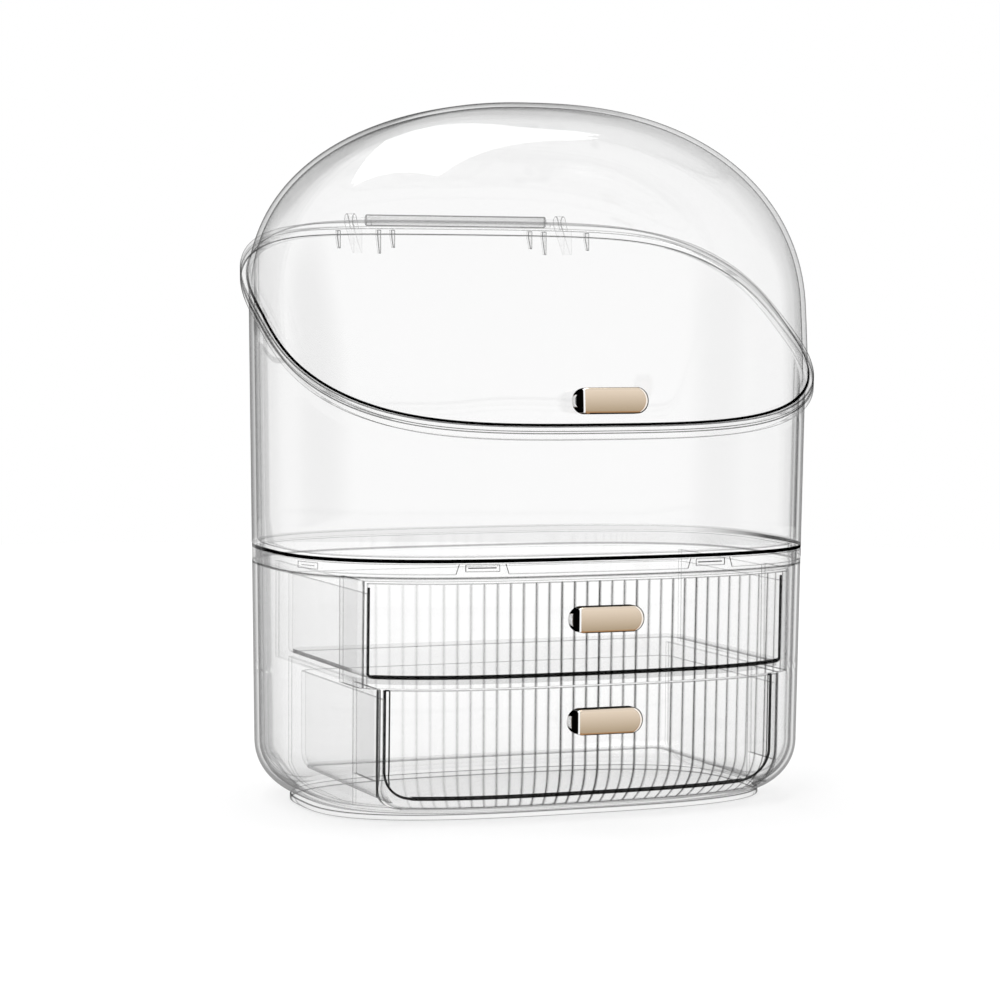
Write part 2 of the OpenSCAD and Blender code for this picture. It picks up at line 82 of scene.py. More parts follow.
HANDLE_W, HANDLE_H, HANDLE_D, HANDLE_STAND = 38.0, 12.6, 7.0, 5.0
LID_HANDLE_Z, UPPER_HANDLE_Z, LOWER_HANDLE_Z = 203.5, 99.5, 50.3

HINGE_Y, HINGE_Z, HINGE_BAR_HALF, HINGE_BAR_R = 102.5, 292.0, 51.0, 3.0
LUG_X, LUG_T, LUG_R = 59.6, 4.8, 3.4
RIB_T, RIBS = 1.4, ((39, 9.5), (47, 12.5), (70.5, 9.5))     # side position and drop of each
TRAY_FLOOR_Z, TRAY_FLOOR_T, SKIRT_T = JOINT_Z + 7.3, 2.4, 1.6
TONGUE_IN, TONGUE_T, TONGUE_TOP = 1.8, 1.2, JOINT_Z + 6.9
SNAP_X, SNAP_HALF_W, SNAP_TAB = 59.8, 8.2, 11.2             # the front pair of snap clips
SNAP_TOP, SNAP_BOTTOM = JOINT_Z + 6.6, JOINT_Z + 3.4
END_SNAP = (129.2, 134.4)                                   # the clips at the two ends
SNAP_PANELS = ((-127.5, -72.6), (-47.0, 47.0), (72.6, 127.5))
RETURN_T, RETURN_BACK_Y = 2.2, -40.0                        # flanges beside the drawer window
GUIDE_T, GUIDE_FRONT_Y, GUIDE_BACK_Y = 2.0, -39.7, 60.0
SHELF_Z, SHELF_T, LEDGE_Z, LEDGE_W = 68.0, 2.7, 9.2, 9.0

# radius of the cords that draw the dark lines of seams and jambs, lines of painted shade
EDGE_R, SEAM_R, FINE_SEAM_R, JAMB_R = 0.22, 0.68, 0.4, 0.58

TURN = np.linspace(0, 2 * math.pi, 384, endpoint=False)


# ---- the shared form -----------------------------------------------------------

def signed_pow(v, e):
    """A power of the size of v that keeps the sign of v."""
    return np.sign(v) * np.abs(v) ** e


def plan(t):
    """Unit superellipse: the 2/n powers of the cosine and sine of its angle parameter."""
    return signed_pow(np.cos(t), 2 / PLAN_POWER), signed_pow(np.sin(t), 2 / PLAN_POWER)


def half_w(z):
    """Half width of the outer wall: a line in z."""
    return RIM_W / 2 - FLANGE_OUT + DRAFT * (z - DRAFT_REF_Z)


def half_d(z):
    """Half depth of the outer wall: a line in z."""
    return RIM_D / 2 - FLANGE_OUT + DRAFT * (z - DRAFT_REF_Z)


def belly_inset(z, offset=0.0):
    """How far the wall's face is set in at a height: the offset above the belly, and in the
    belly the quarter circle that rounds the wall into the floor, itself offset inwards."""
    drop = np.clip(BELLY_Z - np.asarray(z, float), 0, BELLY_R - offset)
    return BELLY_R - np.sqrt((BELLY_R - offset) ** 2 - drop ** 2)


def wall_y(x, z, inset=0.0):
    """Depth of the front wall at a side position and height, as a positive number."""
    share = np.clip(np.abs(x) / (half_w(z) - inset), 0, 1)
    return (half_d(z) - inset) * (1 - share ** PLAN_POWER) ** (1 / PLAN_POWER)


def level_ring(z, inset, t=TURN):
    """Plan ring at a height (one number or one for each point), set in by a distance."""
    x, y = plan(t)
    z = np.broadcast_to(np.asarray(z, float), x.shape)
    return np.stack([(half_w(z) - inset) * x, (half_d(z) - inset) * y, z], -1)


def rim_z(y):
    """Height of the rim: flat, a straight climb and flat, joined by two softplus bends."""
    slope = (RIM_BACK_Z - RIM_FRONT_Z) / (RAMP_END - RAMP_START)
    soft = lambda u: RAMP_SOFT * np.log1p(np.exp(u / RAMP_SOFT))
    return RIM_FRONT_Z + slope * (soft(y - RAMP_START) - soft(y - RAMP_END))


RIM_HEIGHTS = rim_z(half_d(DRAFT_REF_Z) * plan(TURN)[1])


def rim_ring(above, inset):
    """Ring that follows the rim, above it by a height and set in by a distance."""
    return level_ring(RIM_HEIGHTS + above, inset)


def plan_share(z, flank, top):
    """Share of the full plan left at a height: a superellipse quadrant from a start height
    to the top, with one power for the shoulder and one for the crown."""
    start, shoulder, crown = flank
    rise = np.clip((z - start) / (top - start), 0, 1)
    return (1 - rise ** shoulder) ** (1 / crown)


def dome_ring(turn, above, inset):
    """Ring of the dome: from the rim to the top by the sine of a turn, each point pulled in
    by the share of its side flank in X and of its front or back flank in Y."""
    top = TOTAL_H - inset
    z0 = RIM_HEIGHTS + above
    z = z0 + (top - z0) * math.sin(turn)
    x, y = plan(TURN)
    side = plan_share(z, SIDE_FLANK, top)
    end = np.where(y < 0, plan_share(z, FRONT_FLANK, top), plan_share(z, BACK_FLANK, top))
    return np.stack([(half_w(z) + LID_STEP - inset) * side * x,
                     (half_d(z) + LID_STEP - inset) * end * y, z], -1)


# ---- from grids of points to pieces ----------------------------------------------

SMOOTH_UP_TO = 32.0     # degrees between two faces that still shade as one
LEVEL_NORMAL = 0.97     # upward part of the normal of a face that counts as level


def grid_faces(rows, cols, wrap_rows, wrap_cols):
    """Four-sided faces of a grid of points, numbered row by row."""
    i, j = np.meshgrid(np.arange(rows if wrap_rows else rows - 1),
                       np.arange(cols if wrap_cols else cols - 1), indexing="ij")
    i2, j2 = (i + 1) % rows, (j + 1) % cols
    return np.stack([i * cols + j, i * cols + j2, i2 * cols + j2, i2 * cols + j], -1).reshape(-1, 4)


def sheet(points, line=0.0, wrap_rows=False, wrap_cols=True, material=0, turned=False):
    """One grid of points (rows, columns, 3) in mm with its line darkness: one number, one
    for each row, or one for each point. Its faces look along the columns' run crossed with
    the rows' run, or the other way when turned."""
    points, line = np.asarray(points, float), np.asarray(line, float)
    faces = grid_faces(*points.shape[:2], wrap_rows, wrap_cols)
    line = np.broadcast_to(line[:, None] if line.ndim == 1 else line, points.shape[:2])
    return dict(points=points, line=line, faces=faces[:, ::-1] if turned else faces, material=material)


def skin_edge(outer, inner, dark, turned, axis=0):
    """Strip that closes a wall between the ends of its outer and its inner face. The line
    follows its outer side."""
    line = [dark, 0.0] if axis == 0 else [[dark, 0.0]]
    return sheet(np.stack([outer, inner], axis), line, wrap_cols=False, turned=turned)


def body_of(*sheets):
    """Joins sheets that look the same way, in or out, into one closed body. Points that fall
    together take the darkest line among them. Its faces point outwards: if its volume, the
    sum of the tetrahedra from its middle, comes out negative, every face is turned over."""
    points, lines, faces, mats, start = [], [], [], [], 0
    for s in sheets:
        points.append(s["points"].reshape(-1, 3))
        lines.append(s["line"].reshape(-1))
        faces.append(s["faces"] + start)
        mats.append(np.full(len(s["faces"]), s["material"]))
        start += len(points[-1])
    points, faces, line = np.concatenate(points), np.concatenate(faces), np.concatenate(lines)
    same = np.unique(np.round(points, 3), axis=0, return_inverse=True)[1].reshape(-1)
    darkest = np.zeros(same.max() + 1)
    np.maximum.at(darkest, same, line)
    corner = points[faces] - points.mean(0)
    volume = sum(np.einsum("ij,ij->i", corner[:, 0], np.cross(corner[:, a], corner[:, b])).sum()
                 for a, b in ((1, 2), (2, 3)))
    if volume < 0:
        faces = faces[:, ::-1]
    return dict(points=points, line=darkest[same], faces=faces, material=np.concatenate(mats))


def in_scene(name, data):
    """A new object with this data, in the scene."""
    obj = bpy.data.objects.new(name, data)
    bpy.context.scene.collection.objects.link(obj)
    return obj


def piece(name, bodies, body, materials, node):
    """Makes one object from closed bodies, merges the doubled points of each, shades it smooth
    up to an angle, says what it rides on and which finish it has, and hides the solid that it
    stands for. Where the plate plastic is its second material, every level face takes it."""
    mesh = bpy.data.meshes.new(name)
    start, faces = 0, []
    for b in bodies:
        faces.append(b["faces"] + start)
        start += len(b["points"])
    together = lambda key: np.concatenate([b[key] for b in bodies])
    mesh.from_pydata((together("points") * MM).tolist(), [], np.concatenate(faces).tolist())
    line = mesh.attributes.new("line", "FLOAT", "POINT")
    line.data.foreach_set("value", together("line").astype(np.float32))
    mesh.polygons.foreach_set("material_index", together("material").astype(np.int32))
    work = bmesh.new()
    work.from_mesh(mesh)
    verts = list(work.verts)
    for b in bodies:
        own, verts = verts[:len(b["points"])], verts[len(b["points"]):]
        bmesh.ops.remove_doubles(work, verts=own, dist=0.004 * MM)
    bmesh.ops.dissolve_degenerate(work, dist=0.001 * MM, edges=work.edges)
    work.to_mesh(mesh)
    work.free()
    mesh.polygons.foreach_set("use_smooth", np.ones(len(mesh.polygons), bool))
    mesh.set_sharp_from_angle(angle=math.radians(SMOOTH_UP_TO))
    if PLATE_PLASTIC in materials:
        normals = np.empty(3 * len(mesh.polygons), np.float32)
        mesh.polygons.foreach_get("normal", normals)
        level = np.abs(normals.reshape(-1, 3)[:, 2]) > LEVEL_NORMAL
        mesh.polygons.foreach_set("material_index", level.astype(np.int32))
    mesh.update()
    obj = in_scene(name, mesh)
    for material in materials:
        mesh.materials.append(material)
    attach(obj, body)
    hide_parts(node)


def pole(ring):
    """A ring whose points all lie at the ring's middle, which closes a grid there."""
    middle = (ring.max(0) + ring.min(0)) / 2
    return np.broadcast_to(middle, ring.shape)


def shrink(outline, by):
    """Draws a plan or section outline in towards its middle by a distance at its corners."""
    middle = outline.mean(0)
    reach = np.linalg.norm(outline - middle, axis=1, keepdims=True)
    return middle + (outline - middle) * (1 - by / reach)


def capped(rings, line=0.0, material=0):
    """Closed body through rings, with a pole at each end that takes the line of its ring."""
    rings, line = np.asarray(rings, float), np.asarray(line, float)
    line = np.broadcast_to(line[:, None] if line.ndim == 1 else line, rings.shape[:2])
    return body_of(sheet(np.stack([pole(rings[0]), *rings, pole(rings[-1])]),
                         np.stack([line[0], *line, line[-1]]), material=material))


def plate(outline, low, high, dark, bevel=0.3):
    """Level plate between two heights, its flat faces drawn in by a bevel. Only its upright
    edge carries the line, one darkness for each point of the plan outline."""
    ring = lambda z, by: np.column_stack([shrink(outline, by), np.full(len(outline), z)])
    return capped([ring(low, bevel), ring(low, 0), ring(high, 0), ring(high, bevel)],
                  [0 * dark, dark, dark, 0 * dark])


def prism(outline, x0, x1, edges=(0.0, 0.0)):
    """Outline in Y and Z carried along X, its ends drawn in by a small bevel and closed.
    Only the rim of each end carries the line: one darkness for each end, or one for each
    point of the outline."""
    outline, bevel = np.asarray(outline, float), 0.25
    at = lambda by, x: np.column_stack([np.full(len(outline), x), shrink(outline, by)])
    ends = [(bevel + 0.35, 0), (bevel, 0), (0, bevel), (0, bevel + 0.3)]
    rows = [at(by, x0 + off) for by, off in ends] + [at(by, x1 - off) for by, off in ends[::-1]]
    plain = np.zeros(len(outline))
    first, last = [plain + dark for dark in edges]
    return capped(rows, np.stack([plain, first, first, plain, plain, last, last, plain]))


def thread(xs, zs, dark, r=EDGE_R, inset=0.0):
    """Fine cord on the front wall, or set in from it by a distance, through places given by
    X and height. Its rings stand on the wall's normal and on the cross product of that
    with its run. Its line paints the dark look that a cut edge or a seam takes in clear
    plastic, a painted shade."""
    xs, zs = np.broadcast_arrays(np.asarray(xs, float), np.asarray(zs, float))
    p = np.column_stack([xs, -wall_y(xs, zs, inset), zs])
    run = np.gradient(p, axis=0)
    run /= np.linalg.norm(run, axis=1, keepdims=True)
    w, d = half_w(p[:, 2]) - inset, half_d(p[:, 2]) - inset
    away = np.column_stack([signed_pow(p[:, 0] / w, PLAN_POWER - 1) / w,
                            -(-p[:, 1] / d) ** (PLAN_POWER - 1) / d, np.zeros(len(p))])
    away /= np.linalg.norm(away, axis=1, keepdims=True)
    across = np.cross(run, away)
    a = np.linspace(0, 2 * math.pi, 8, endpoint=False)[:, None, None]
    return capped((p + r * np.cos(a) * away + r * np.sin(a) * across).transpose(1, 0, 2), dark)


# ---- materials -----------------------------------------------------------------

def linear(hex_colour, alpha=1.0):
    """Linear RGBA from an sRGB hex colour."""
    values = [int(hex_colour[i:i + 2], 16) / 255 for i in (1, 3, 5)]
    return (*[v / 12.92 if v <= 0.04045 else ((v + 0.055) / 1.055) ** 2.4 for v in values], alpha)


def add(tree, kind, inputs=None, **settings):
    """Adds a shader node. Settings are its properties, inputs its sockets by name or number.
    A node given there is linked by its first output in use, a socket is linked, and
    anything else is set."""
    node = tree.nodes.new("ShaderNode" + kind)
    for name, value in settings.items():
        setattr(node, name, value)
    for name, value in (inputs or {}).items():
        if isinstance(value, bpy.types.Node):
            value = next(socket for socket in value.outputs if socket.enabled)
        if isinstance(value, bpy.types.NodeSocket):
            tree.links.new(value, node.inputs[name])
        else:
            node.inputs[name].default_value = value
    return node


def new_material(name):
    """A material with an empty node tree."""
    material = bpy.data.materials.new(name)
    material.use_nodes = True
    material.node_tree.nodes.clear()
    return material, material.node_tree


def set_stops(ramp, tones):
    """Gives a colour ramp its tones: a place, a colour and the share that covers the rest."""
    stops = ramp.color_ramp.elements
    stops.remove(stops[1])
    for place, colour, *share in tones:
        stop = stops.new(place) if place else stops[0]
        stop.color = linear(colour, *share)


def clear_plastic(name, turns, head_on, grazing, rough, wave_mm):
    """Clear moulded polystyrene. Light passes straight through and loses a little more of
    itself where the wall turns away from the eye, and the greys it takes there are painted
    shade and painted reflection of the studio round it. Lines drawn on the mesh are painted
    nearly black: a painted shade for the dark look that light trapped in an edge gives clear
    plastic. The skin reflects by Schlick's form of Fresnel's law, from a head-on share to a
    grazing share and alike from both sides, with the faint waves of a moulded sheet."""
    material, tree = new_material(name)
    facing = add(tree, "LayerWeight", {"Blend": 0.5}).outputs["Facing"]
    # painted shade and painted reflection: greys for the light let through, by the wall's turn
    painted_turn_shade = add(tree, "ValToRGB", {0: facing})
    set_stops(painted_turn_shade, turns)
    line = add(tree, "Attribute", attribute_name="line").outputs["Fac"]
    # painted shade: the line attribute darkens the light let through nearly to black
    dark = add(tree, "Mix", {"Factor": line, "A": painted_turn_shade, "B": linear("#020202")}, data_type="RGBA")
    through = add(tree, "BsdfTransparent", {"Color": dark})
    place = add(tree, "TexCoord").outputs["Object"]
    wave = add(tree, "TexNoise", {"Vector": place, "Scale": 1000 / wave_mm, "Detail": 1.0,
                                  "Roughness": 0.4})
    bump = add(tree, "Bump", {"Strength": 0.12, "Distance": 0.0006, "Height": wave})
    skin = add(tree, "BsdfGlossy", {"Color": linear("#FFFFFF"), "Roughness": rough, "Normal": bump})
    fifth = add(tree, "Math", {0: facing, 1: 5.0}, operation="POWER")
    mirror = add(tree, "MapRange", {"Value": fifth, "To Min": head_on, "To Max": grazing})
    clear = add(tree, "Math", {0: 1.0, 1: line}, operation="SUBTRACT")
    share = add(tree, "Math", {0: mirror, 1: clear}, operation="MULTIPLY")
    mix = add(tree, "MixShader", {0: share, 1: through, 2: skin})
    add(tree, "OutputMaterial", {"Surface": mix})
    return material


# Injection-moulded crystal polystyrene: glassy, colourless, with sharp reflections and flow
# waves 30 to 60 mm long, which bend them a little. Each list gives how much light comes
# through as the surface turns away from the eye. Its fall to grey towards the outline and
# the narrow grey bands of the tray and the cabinet are painted shade and painted reflection.
LID_TURNS = ((0, "#FEFEFE"), (0.35, "#FDFDFD"), (0.56, "#FCFCFC"), (0.575, "#F8F8F8"),
             (0.85, "#F6F6F6"), (0.9, "#D8D8D8"), (0.93, "#B0B0B0"), (0.965, "#707070"))
TRAY_TURNS = ((0, "#FEFEFE"), (0.35, "#FDFDFD"), (0.6, "#FCFCFC"), (0.698, "#F9F9F9"),
              (0.704, "#D6D6D6"), (0.727, "#D6D6D6"), (0.733, "#F8F8F8"), (0.79, "#F2F2F2"),
              (0.8, "#DCDCDC"), (0.85, "#D6D6D6"), (0.93, "#CECECE"), (0.97, "#A4A4A4"))
CABINET_TURNS = ((0, "#FEFEFE"), (0.3, "#FDFDFD"), (0.52, "#FBFBFB"), (0.62, "#F8F8F8"),
                 (0.69, "#F1F1F1"), (0.698, "#F0F0F0"), (0.704, "#CCCCCC"), (0.726, "#CCCCCC"),
                 (0.733, "#F2F2F2"), (0.79, "#EEEEEE"), (0.8, "#C8C8C8"), (0.85, "#BCBCBC"),
                 (0.93, "#B0B0B0"), (0.97, "#7C7C7C"))
BOX_TURNS = ((0, "#FEFEFE"), (0.3, "#FEFEFE"), (0.62, "#FDFDFD"), (0.72, "#FAFAFA"),
             (0.9, "#E4E4E4"))
PLATE_TURNS = ((0, "#FEFEFE"), (0.6, "#FEFEFE"), (0.9, "#FDFDFD"))

LID_PLASTIC = clear_plastic("moulded_polystyrene_lid", LID_TURNS, 0.05, 0.4, 0.03, 60)
TRAY_PLASTIC = clear_plastic("moulded_polystyrene_tray", TRAY_TURNS, 0.04, 0.45, 0.03, 60)
CABINET_PLASTIC = clear_plastic("moulded_polystyrene_cabinet", CABINET_TURNS, 0.03, 0.3, 0.04, 45)
BOX_PLASTIC = clear_plastic("moulded_polystyrene_box", BOX_TURNS, 0.01, 0.15, 0.05, 40)
DRAWER_PLASTIC = clear_plastic("moulded_polystyrene_drawer", PLATE_TURNS, 0.012, 0.12, 0.05, 30)
# Level plates are seen at a low angle, so their gloss is kept down.
PLATE_PLASTIC = clear_plastic("moulded_polystyrene_plate", PLATE_TURNS, 0.01, 0.025, 0.04, 40)


def plated(name, low, high, rough, grain_mm, grain, mirror=(), cut=(), rim="#FFFFFF"):
    """Vacuum-metallised plastic: a metal film over a moulded pull, from a lower tone to an
    upper one by the line attribute, which paints light towards its top where the two
    differ, with a fine cloudy grain in its roughness. A polished film mirrors the studio,
    and mirror and cut also paint a reflection of it into the film's colour: mirror lists
    shares of the turn from left to right and the tone painted there, and cut lists shares
    of the pull's width. Rim tints the film where it is seen edge-on."""
    material, tree = new_material(name)
    place = add(tree, "TexCoord").outputs
    cloud = add(tree, "TexNoise", {"Vector": place["Object"], "Scale": 1000 / grain_mm, "Detail": 3.0})
    level = add(tree, "MapRange", {"Value": cloud, "To Min": rough - grain, "To Max": rough + grain})
    bump = add(tree, "Bump", {"Strength": 0.08, "Distance": 0.0001, "Height": cloud})
    # painted light and shade: the film lightens with height across the pull
    height = add(tree, "Attribute", attribute_name="line").outputs["Fac"]
    film = add(tree, "Mix", {"Factor": height, "A": linear(low), "B": linear(high)}, data_type="RGBA")
    # painted reflection: studio tones laid into the film's colour by place and by turn
    for source, reach, tones in (("Object", HANDLE_W / 2 * MM, cut), ("Normal", 1.0, mirror)):
        if tones:
            aside = add(tree, "SeparateXYZ", {0: place[source]})
            across = add(tree, "MapRange", {"Value": aside, "From Min": -reach, "From Max": reach})
            studio = add(tree, "ValToRGB", {0: across})
            set_stops(studio, tones)
            film = add(tree, "Mix", {"Factor": studio.outputs["Alpha"], "A": film, "B": studio},
                       data_type="RGBA")
    metal = add(tree, "BsdfPrincipled", {"Base Color": film, "Metallic": 1.0, "Roughness": level,
                                         "Specular Tint": linear(rim), "Normal": bump})
    add(tree, "OutputMaterial", {"Surface": metal})
    return material


# Plated pulls: a satin face in a pale warm gold, painted lighter towards its upper edge and
# darker towards its lower one, a painted light and shade. The film's own grain is too fine
# to show, so it is drawn 0.8 to 2 mm wide.
PULL_FACE_PAINTED_LIGHT = plated("champagne_plated_face_painted_light", "#AE9A7E", "#F0DFCB", 0.38, 1.2, 0.05)
# Polished ends take a painted reflection of the unlit left of the room, a thin bright strip
# and the lamp on the right, by their turn and their place across the pull. Their tones
# also darken towards the bottom, a painted shade.
PULL_SIDE_PAINTED_REFLECTION = plated(
    "champagne_polished_side_painted_reflection", "#A67E55", "#E4D6C4", 0.1, 2.0, 0.03, rim="#3A2C20",
    mirror=((0, "#FFFFFF", 1), (0.04, "#FFFFFF", 1), (0.07, "#D8C6B2", 0), (0.55, "#D8C6B2", 0),
            (0.6, "#FFF8F0", 0.9), (0.78, "#FFF8F0", 0.9), (0.81, "#7A5C40", 1),
            (0.83, "#2A1C12", 1), (1, "#1E140C", 1)),
    cut=((0, "#050403", 1), (0.082, "#050403", 1), (0.088, "#FFFFFF", 1), (0.106, "#FFFFFF", 1),
         (0.112, "#D8C6B2", 0), (1, "#D8C6B2", 0)))
# The wall of a pull behind its bright edge, and its lower rounded edge, are painted dark
# brown: a painted shade, as they face the shaded drawer.
PULL_WALL_PAINTED_SHADE = plated("champagne_plated_wall_painted_shade", "#2A1C10", "#2E2116", 0.3, 2.0, 0.03, rim="#1A120A")
SCREW_STEEL = plated("zinc_plated_screw", "#B9BBBE", "#B9BBBE", 0.3, 0.8, 0.06)


# ---- lid -----------------------------------------------------------------------

def closed_skin(rings, far):
    """Closed body through rings. Each comes with its line's darkness at the front of the
    object, which falls evenly to a share of it at the back: its own, or the one for all.
    This change from front to back is painted shade, set as the edges look from the front."""
    lines = []
    for ring, line, *own in rings:
        back = np.clip((ring[:, 1] / (RIM_D / 2) - 0.05) / 0.6, 0, 1)
        lines.append(line * (1 + ((own or [far])[0] - 1) * back))
    return body_of(sheet(np.stack([ring for ring, *_ in rings]), np.stack(lines)))


def lid_seat_ring():
    """Ring under the lid's flange at the tray's inner edge, or just outside the dome's own
    inner face where that stands further out."""
    z = RIM_HEIGHTS + LID_GAP
    inner = dome_ring(0, LID_GAP, LID_T)
    inset = np.minimum(WALL, np.linalg.norm(inner - level_ring(z, 0), axis=1) - 0.3)
    return level_ring(z, inset)


def make_dome():
    """Dome and flange as one closed skin, from its outer pole over the flange to its inner
    pole. Narrow rings at the step, the flange's edge and its underside draw their lines."""
    turns = np.radians(np.concatenate([np.linspace(0, 12, 9), np.linspace(14, 90, 44)]))
    rings = [(dome_ring(a, LID_FLANGE_T, 0), 0) for a in turns[:0:-1]]
    rings += [(dome_ring(0, LID_FLANGE_T + above, -out), line) for above, out, line in (
        (1.3, 0, 0), (1.1, 0, 1), (0.25, 0.1, 1), (0.05, 0.4, 1), (0, 0.8, 0.9), (0, 1, 0))]
    rings += [(rim_ring(LID_FLANGE_T - below, -out), line) for below, out, line in (
        (0, 3.3, 0), (0, 3.5, 0.7), (0.15, 3.9, 0.8), (0.5, 4, 0.7), (0.7, 4, 0))]
    rings += [(rim_ring(LID_GAP + above, -out), line) for above, out, line in (
        (0.6, 4, 0), (0.4, 4, 0.6), (0.1, 3.9, 0.6), (0, 3.4, 0.5), (0, 3.2, 0))]
    rings.append((lid_seat_ring(), 0))
    return closed_skin(rings + [(dome_ring(a, LID_GAP, LID_T), 0) for a in turns], 0.5)


def round_bar(y, z, r, half, ends=0.5):
    """Bar along X: circles whose radius falls to the pole over rounded ends. Lines follow
    its top and bottom."""
    a = np.linspace(0, 2 * math.pi, 40, endpoint=False)
    turn = np.radians(np.linspace(90, 0, 5))
    xs, rs = half - ends * (1 - np.sin(turn)), r - ends * (1 - np.cos(turn))
    rows = [np.stack([np.full(len(a), x), y + q * np.cos(a), z + q * np.sin(a)], -1)
            for x, q in zip(np.concatenate([-xs, xs[::-1]]), np.concatenate([rs, rs[::-1]]))]
    # painted shade: the line under the bar is darkest, the one along its top lighter, faint grey
    # between
    line = np.interp(np.sin(a), [-1, -0.92, -0.8, 0.7, 0.85, 1], [0.85, 0.85, 0.13, 0.13, 0.65, 0.65])
    return capped(rows, line[None])


def hinge_web():
    """Plate that joins the hinge bar to the lid's flange."""
    front = wall_y(HINGE_BAR_HALF, RIM_BACK_Z) + 1
    low = rim_z(half_d(RIM_BACK_Z)) + LID_GAP + 0.6
    high = low + 2.2
    return prism([(front, low), (HINGE_Y, low), (HINGE_Y, high), (front, high)],
                 -HINGE_BAR_HALF, HINGE_BAR_HALF, edges=(0.5, 0.5))


piece("lid_dome", [make_dome()], "lid", [LID_PLASTIC], "dome_lid")
piece("lid_hinge_bar", [round_bar(HINGE_Y, HINGE_Z, HINGE_BAR_R, HINGE_BAR_HALF), hinge_web()],
      "lid", [LID_PLASTIC], "dome_lid")


# ---- tray ----------------------------------------------------------------------

def make_tray():
    """Tray as one closed skin: underside, skirt, leaning wall, rim flange, inner wall and
    floor. Narrow rings draw the lines of the joint, the floor, the rim and its underside."""
    floor_top = TRAY_FLOOR_Z + TRAY_FLOOR_T
    top = RIM_HEIGHTS - TRAY_FLANGE_T - 0.5
    wall = lambda low, inset: [(level_ring(low + (top - low) * k, inset), 0)
                               for k in np.linspace(0, 1, 9)]
    rings = [(pole(level_ring(TRAY_FLOOR_Z, SKIRT_T)), 0)]
    rings += [(level_ring(z, inset), line) for z, inset, line in (
        (TRAY_FLOOR_Z, SKIRT_T + 0.3, 0), (TRAY_FLOOR_Z + 0.3, SKIRT_T, 0.3),
        (TRAY_FLOOR_Z - 0.1, SKIRT_T, 0), (JOINT_Z + 0.1, SKIRT_T, 0),
        (JOINT_Z, SKIRT_T - 0.3, 0), (JOINT_Z, 0.6, 0), (JOINT_Z, 0.3, 0.7),
        (JOINT_Z + 0.3, 0, 0.8), (JOINT_Z + 0.6, 0, 0.6), (JOINT_Z + 0.9, 0, 0))]
    rings += [(level_ring(TRAY_FLOOR_Z + z, 0), line, 0.12) for z, line in (
        (0.1, 0), (0.3, 1), (TRAY_FLOOR_T - 0.5, 1), (TRAY_FLOOR_T - 0.3, 0))]
    rings += wall(floor_top + 1, 0)
    # The rim's edge line is painted darker at the back than at the front, a painted shade.
    rings += [(rim_ring(above - TRAY_FLANGE_T, -out), *line) for above, out, *line in (
        (-0.3, 0.1, 0.3), (0, 0.4, 0.3), (0, 0.7, 0), (0, 3.2, 0), (0, 3.5, 0.42, 2.3),
        (0.4, 3.95, 0.42, 2.3), (0.7, 4, 0))]
    rings += [(rim_ring(above, inset), line) for above, inset, line in (
        (-0.6, -4, 0), (-0.4, -3.98, 0.75), (-0.15, -3.85, 0.75), (0, -3.4, 0.7), (0, -3.1, 0),
        (0, WALL - 0.3, 0), (-0.3, WALL, 0))]
    rings += wall(floor_top + 2.2, WALL)[::-1]
    rings += [(level_ring(floor_top + z, WALL + inset), line) for z, inset, line in (
        (1.4, 0.15, 0), (0.8, 0.6, 0.25), (0.2, 1.3, 0.45), (0, 1.9, 0), (0, 20, 0))]
    return closed_skin(rings + [(pole(level_ring(floor_top, WALL)), 0)], 0.75)


def back_rib(x, drop):
    """Gusset under the back of the rim: a slanted plate between the wall and the flange."""
    y = wall_y(x, RIM_BACK_Z)
    top, low, out = rim_z(y) - 1, rim_z(y) - 1 - drop, y + FLANGE_OUT - 0.4
    outline = [(y - 1.5, top), (out, top), (out, top - TRAY_FLANGE_T), (y + 0.3, low), (y - 1.5, low)]
    return prism(outline, x - RIB_T / 2, x + RIB_T / 2, edges=(0.25, 0.95))


def hinge_lug(x):
    """Lug that carries a hinge pin: a neck from the wall and a round head, one outline."""
    y = wall_y(x, RIM_BACK_Z)
    rim = rim_z(y)
    a = np.radians(np.linspace(150, -60, 22))
    head = np.column_stack([HINGE_Y + LUG_R * np.cos(a), HINGE_Z + LUG_R * np.sin(a)])
    neck = [(HINGE_Y + 0.6, HINGE_Z - 4.6), (y + 0.4, rim - 13), (y - 1.5, rim - 13),
            (y - 1.5, rim - 0.4), (y + FLANGE_OUT, rim - 0.4)]
    dark = np.concatenate([np.full(len(head), 0.7), [0.3, 0.1, 0.1, 0.1, 0.3]])
    return prism(np.concatenate([head, neck]), x - LUG_T / 2, x + LUG_T / 2, edges=(dark, dark))


def box_of_threads(x0, x1, z0, z1, darks):
    """Four cut edges round a window: left, right, bottom and top."""
    x, z = np.linspace(x0, x1, 7), np.linspace(z0, z1, 5)
    left, right, bottom, top = darks
    return [thread(0 * z + x0, z, left), thread(0 * z + x1, z, right),
            thread(x, 0 * x + z0, bottom), thread(x, 0 * x + z1, top)]


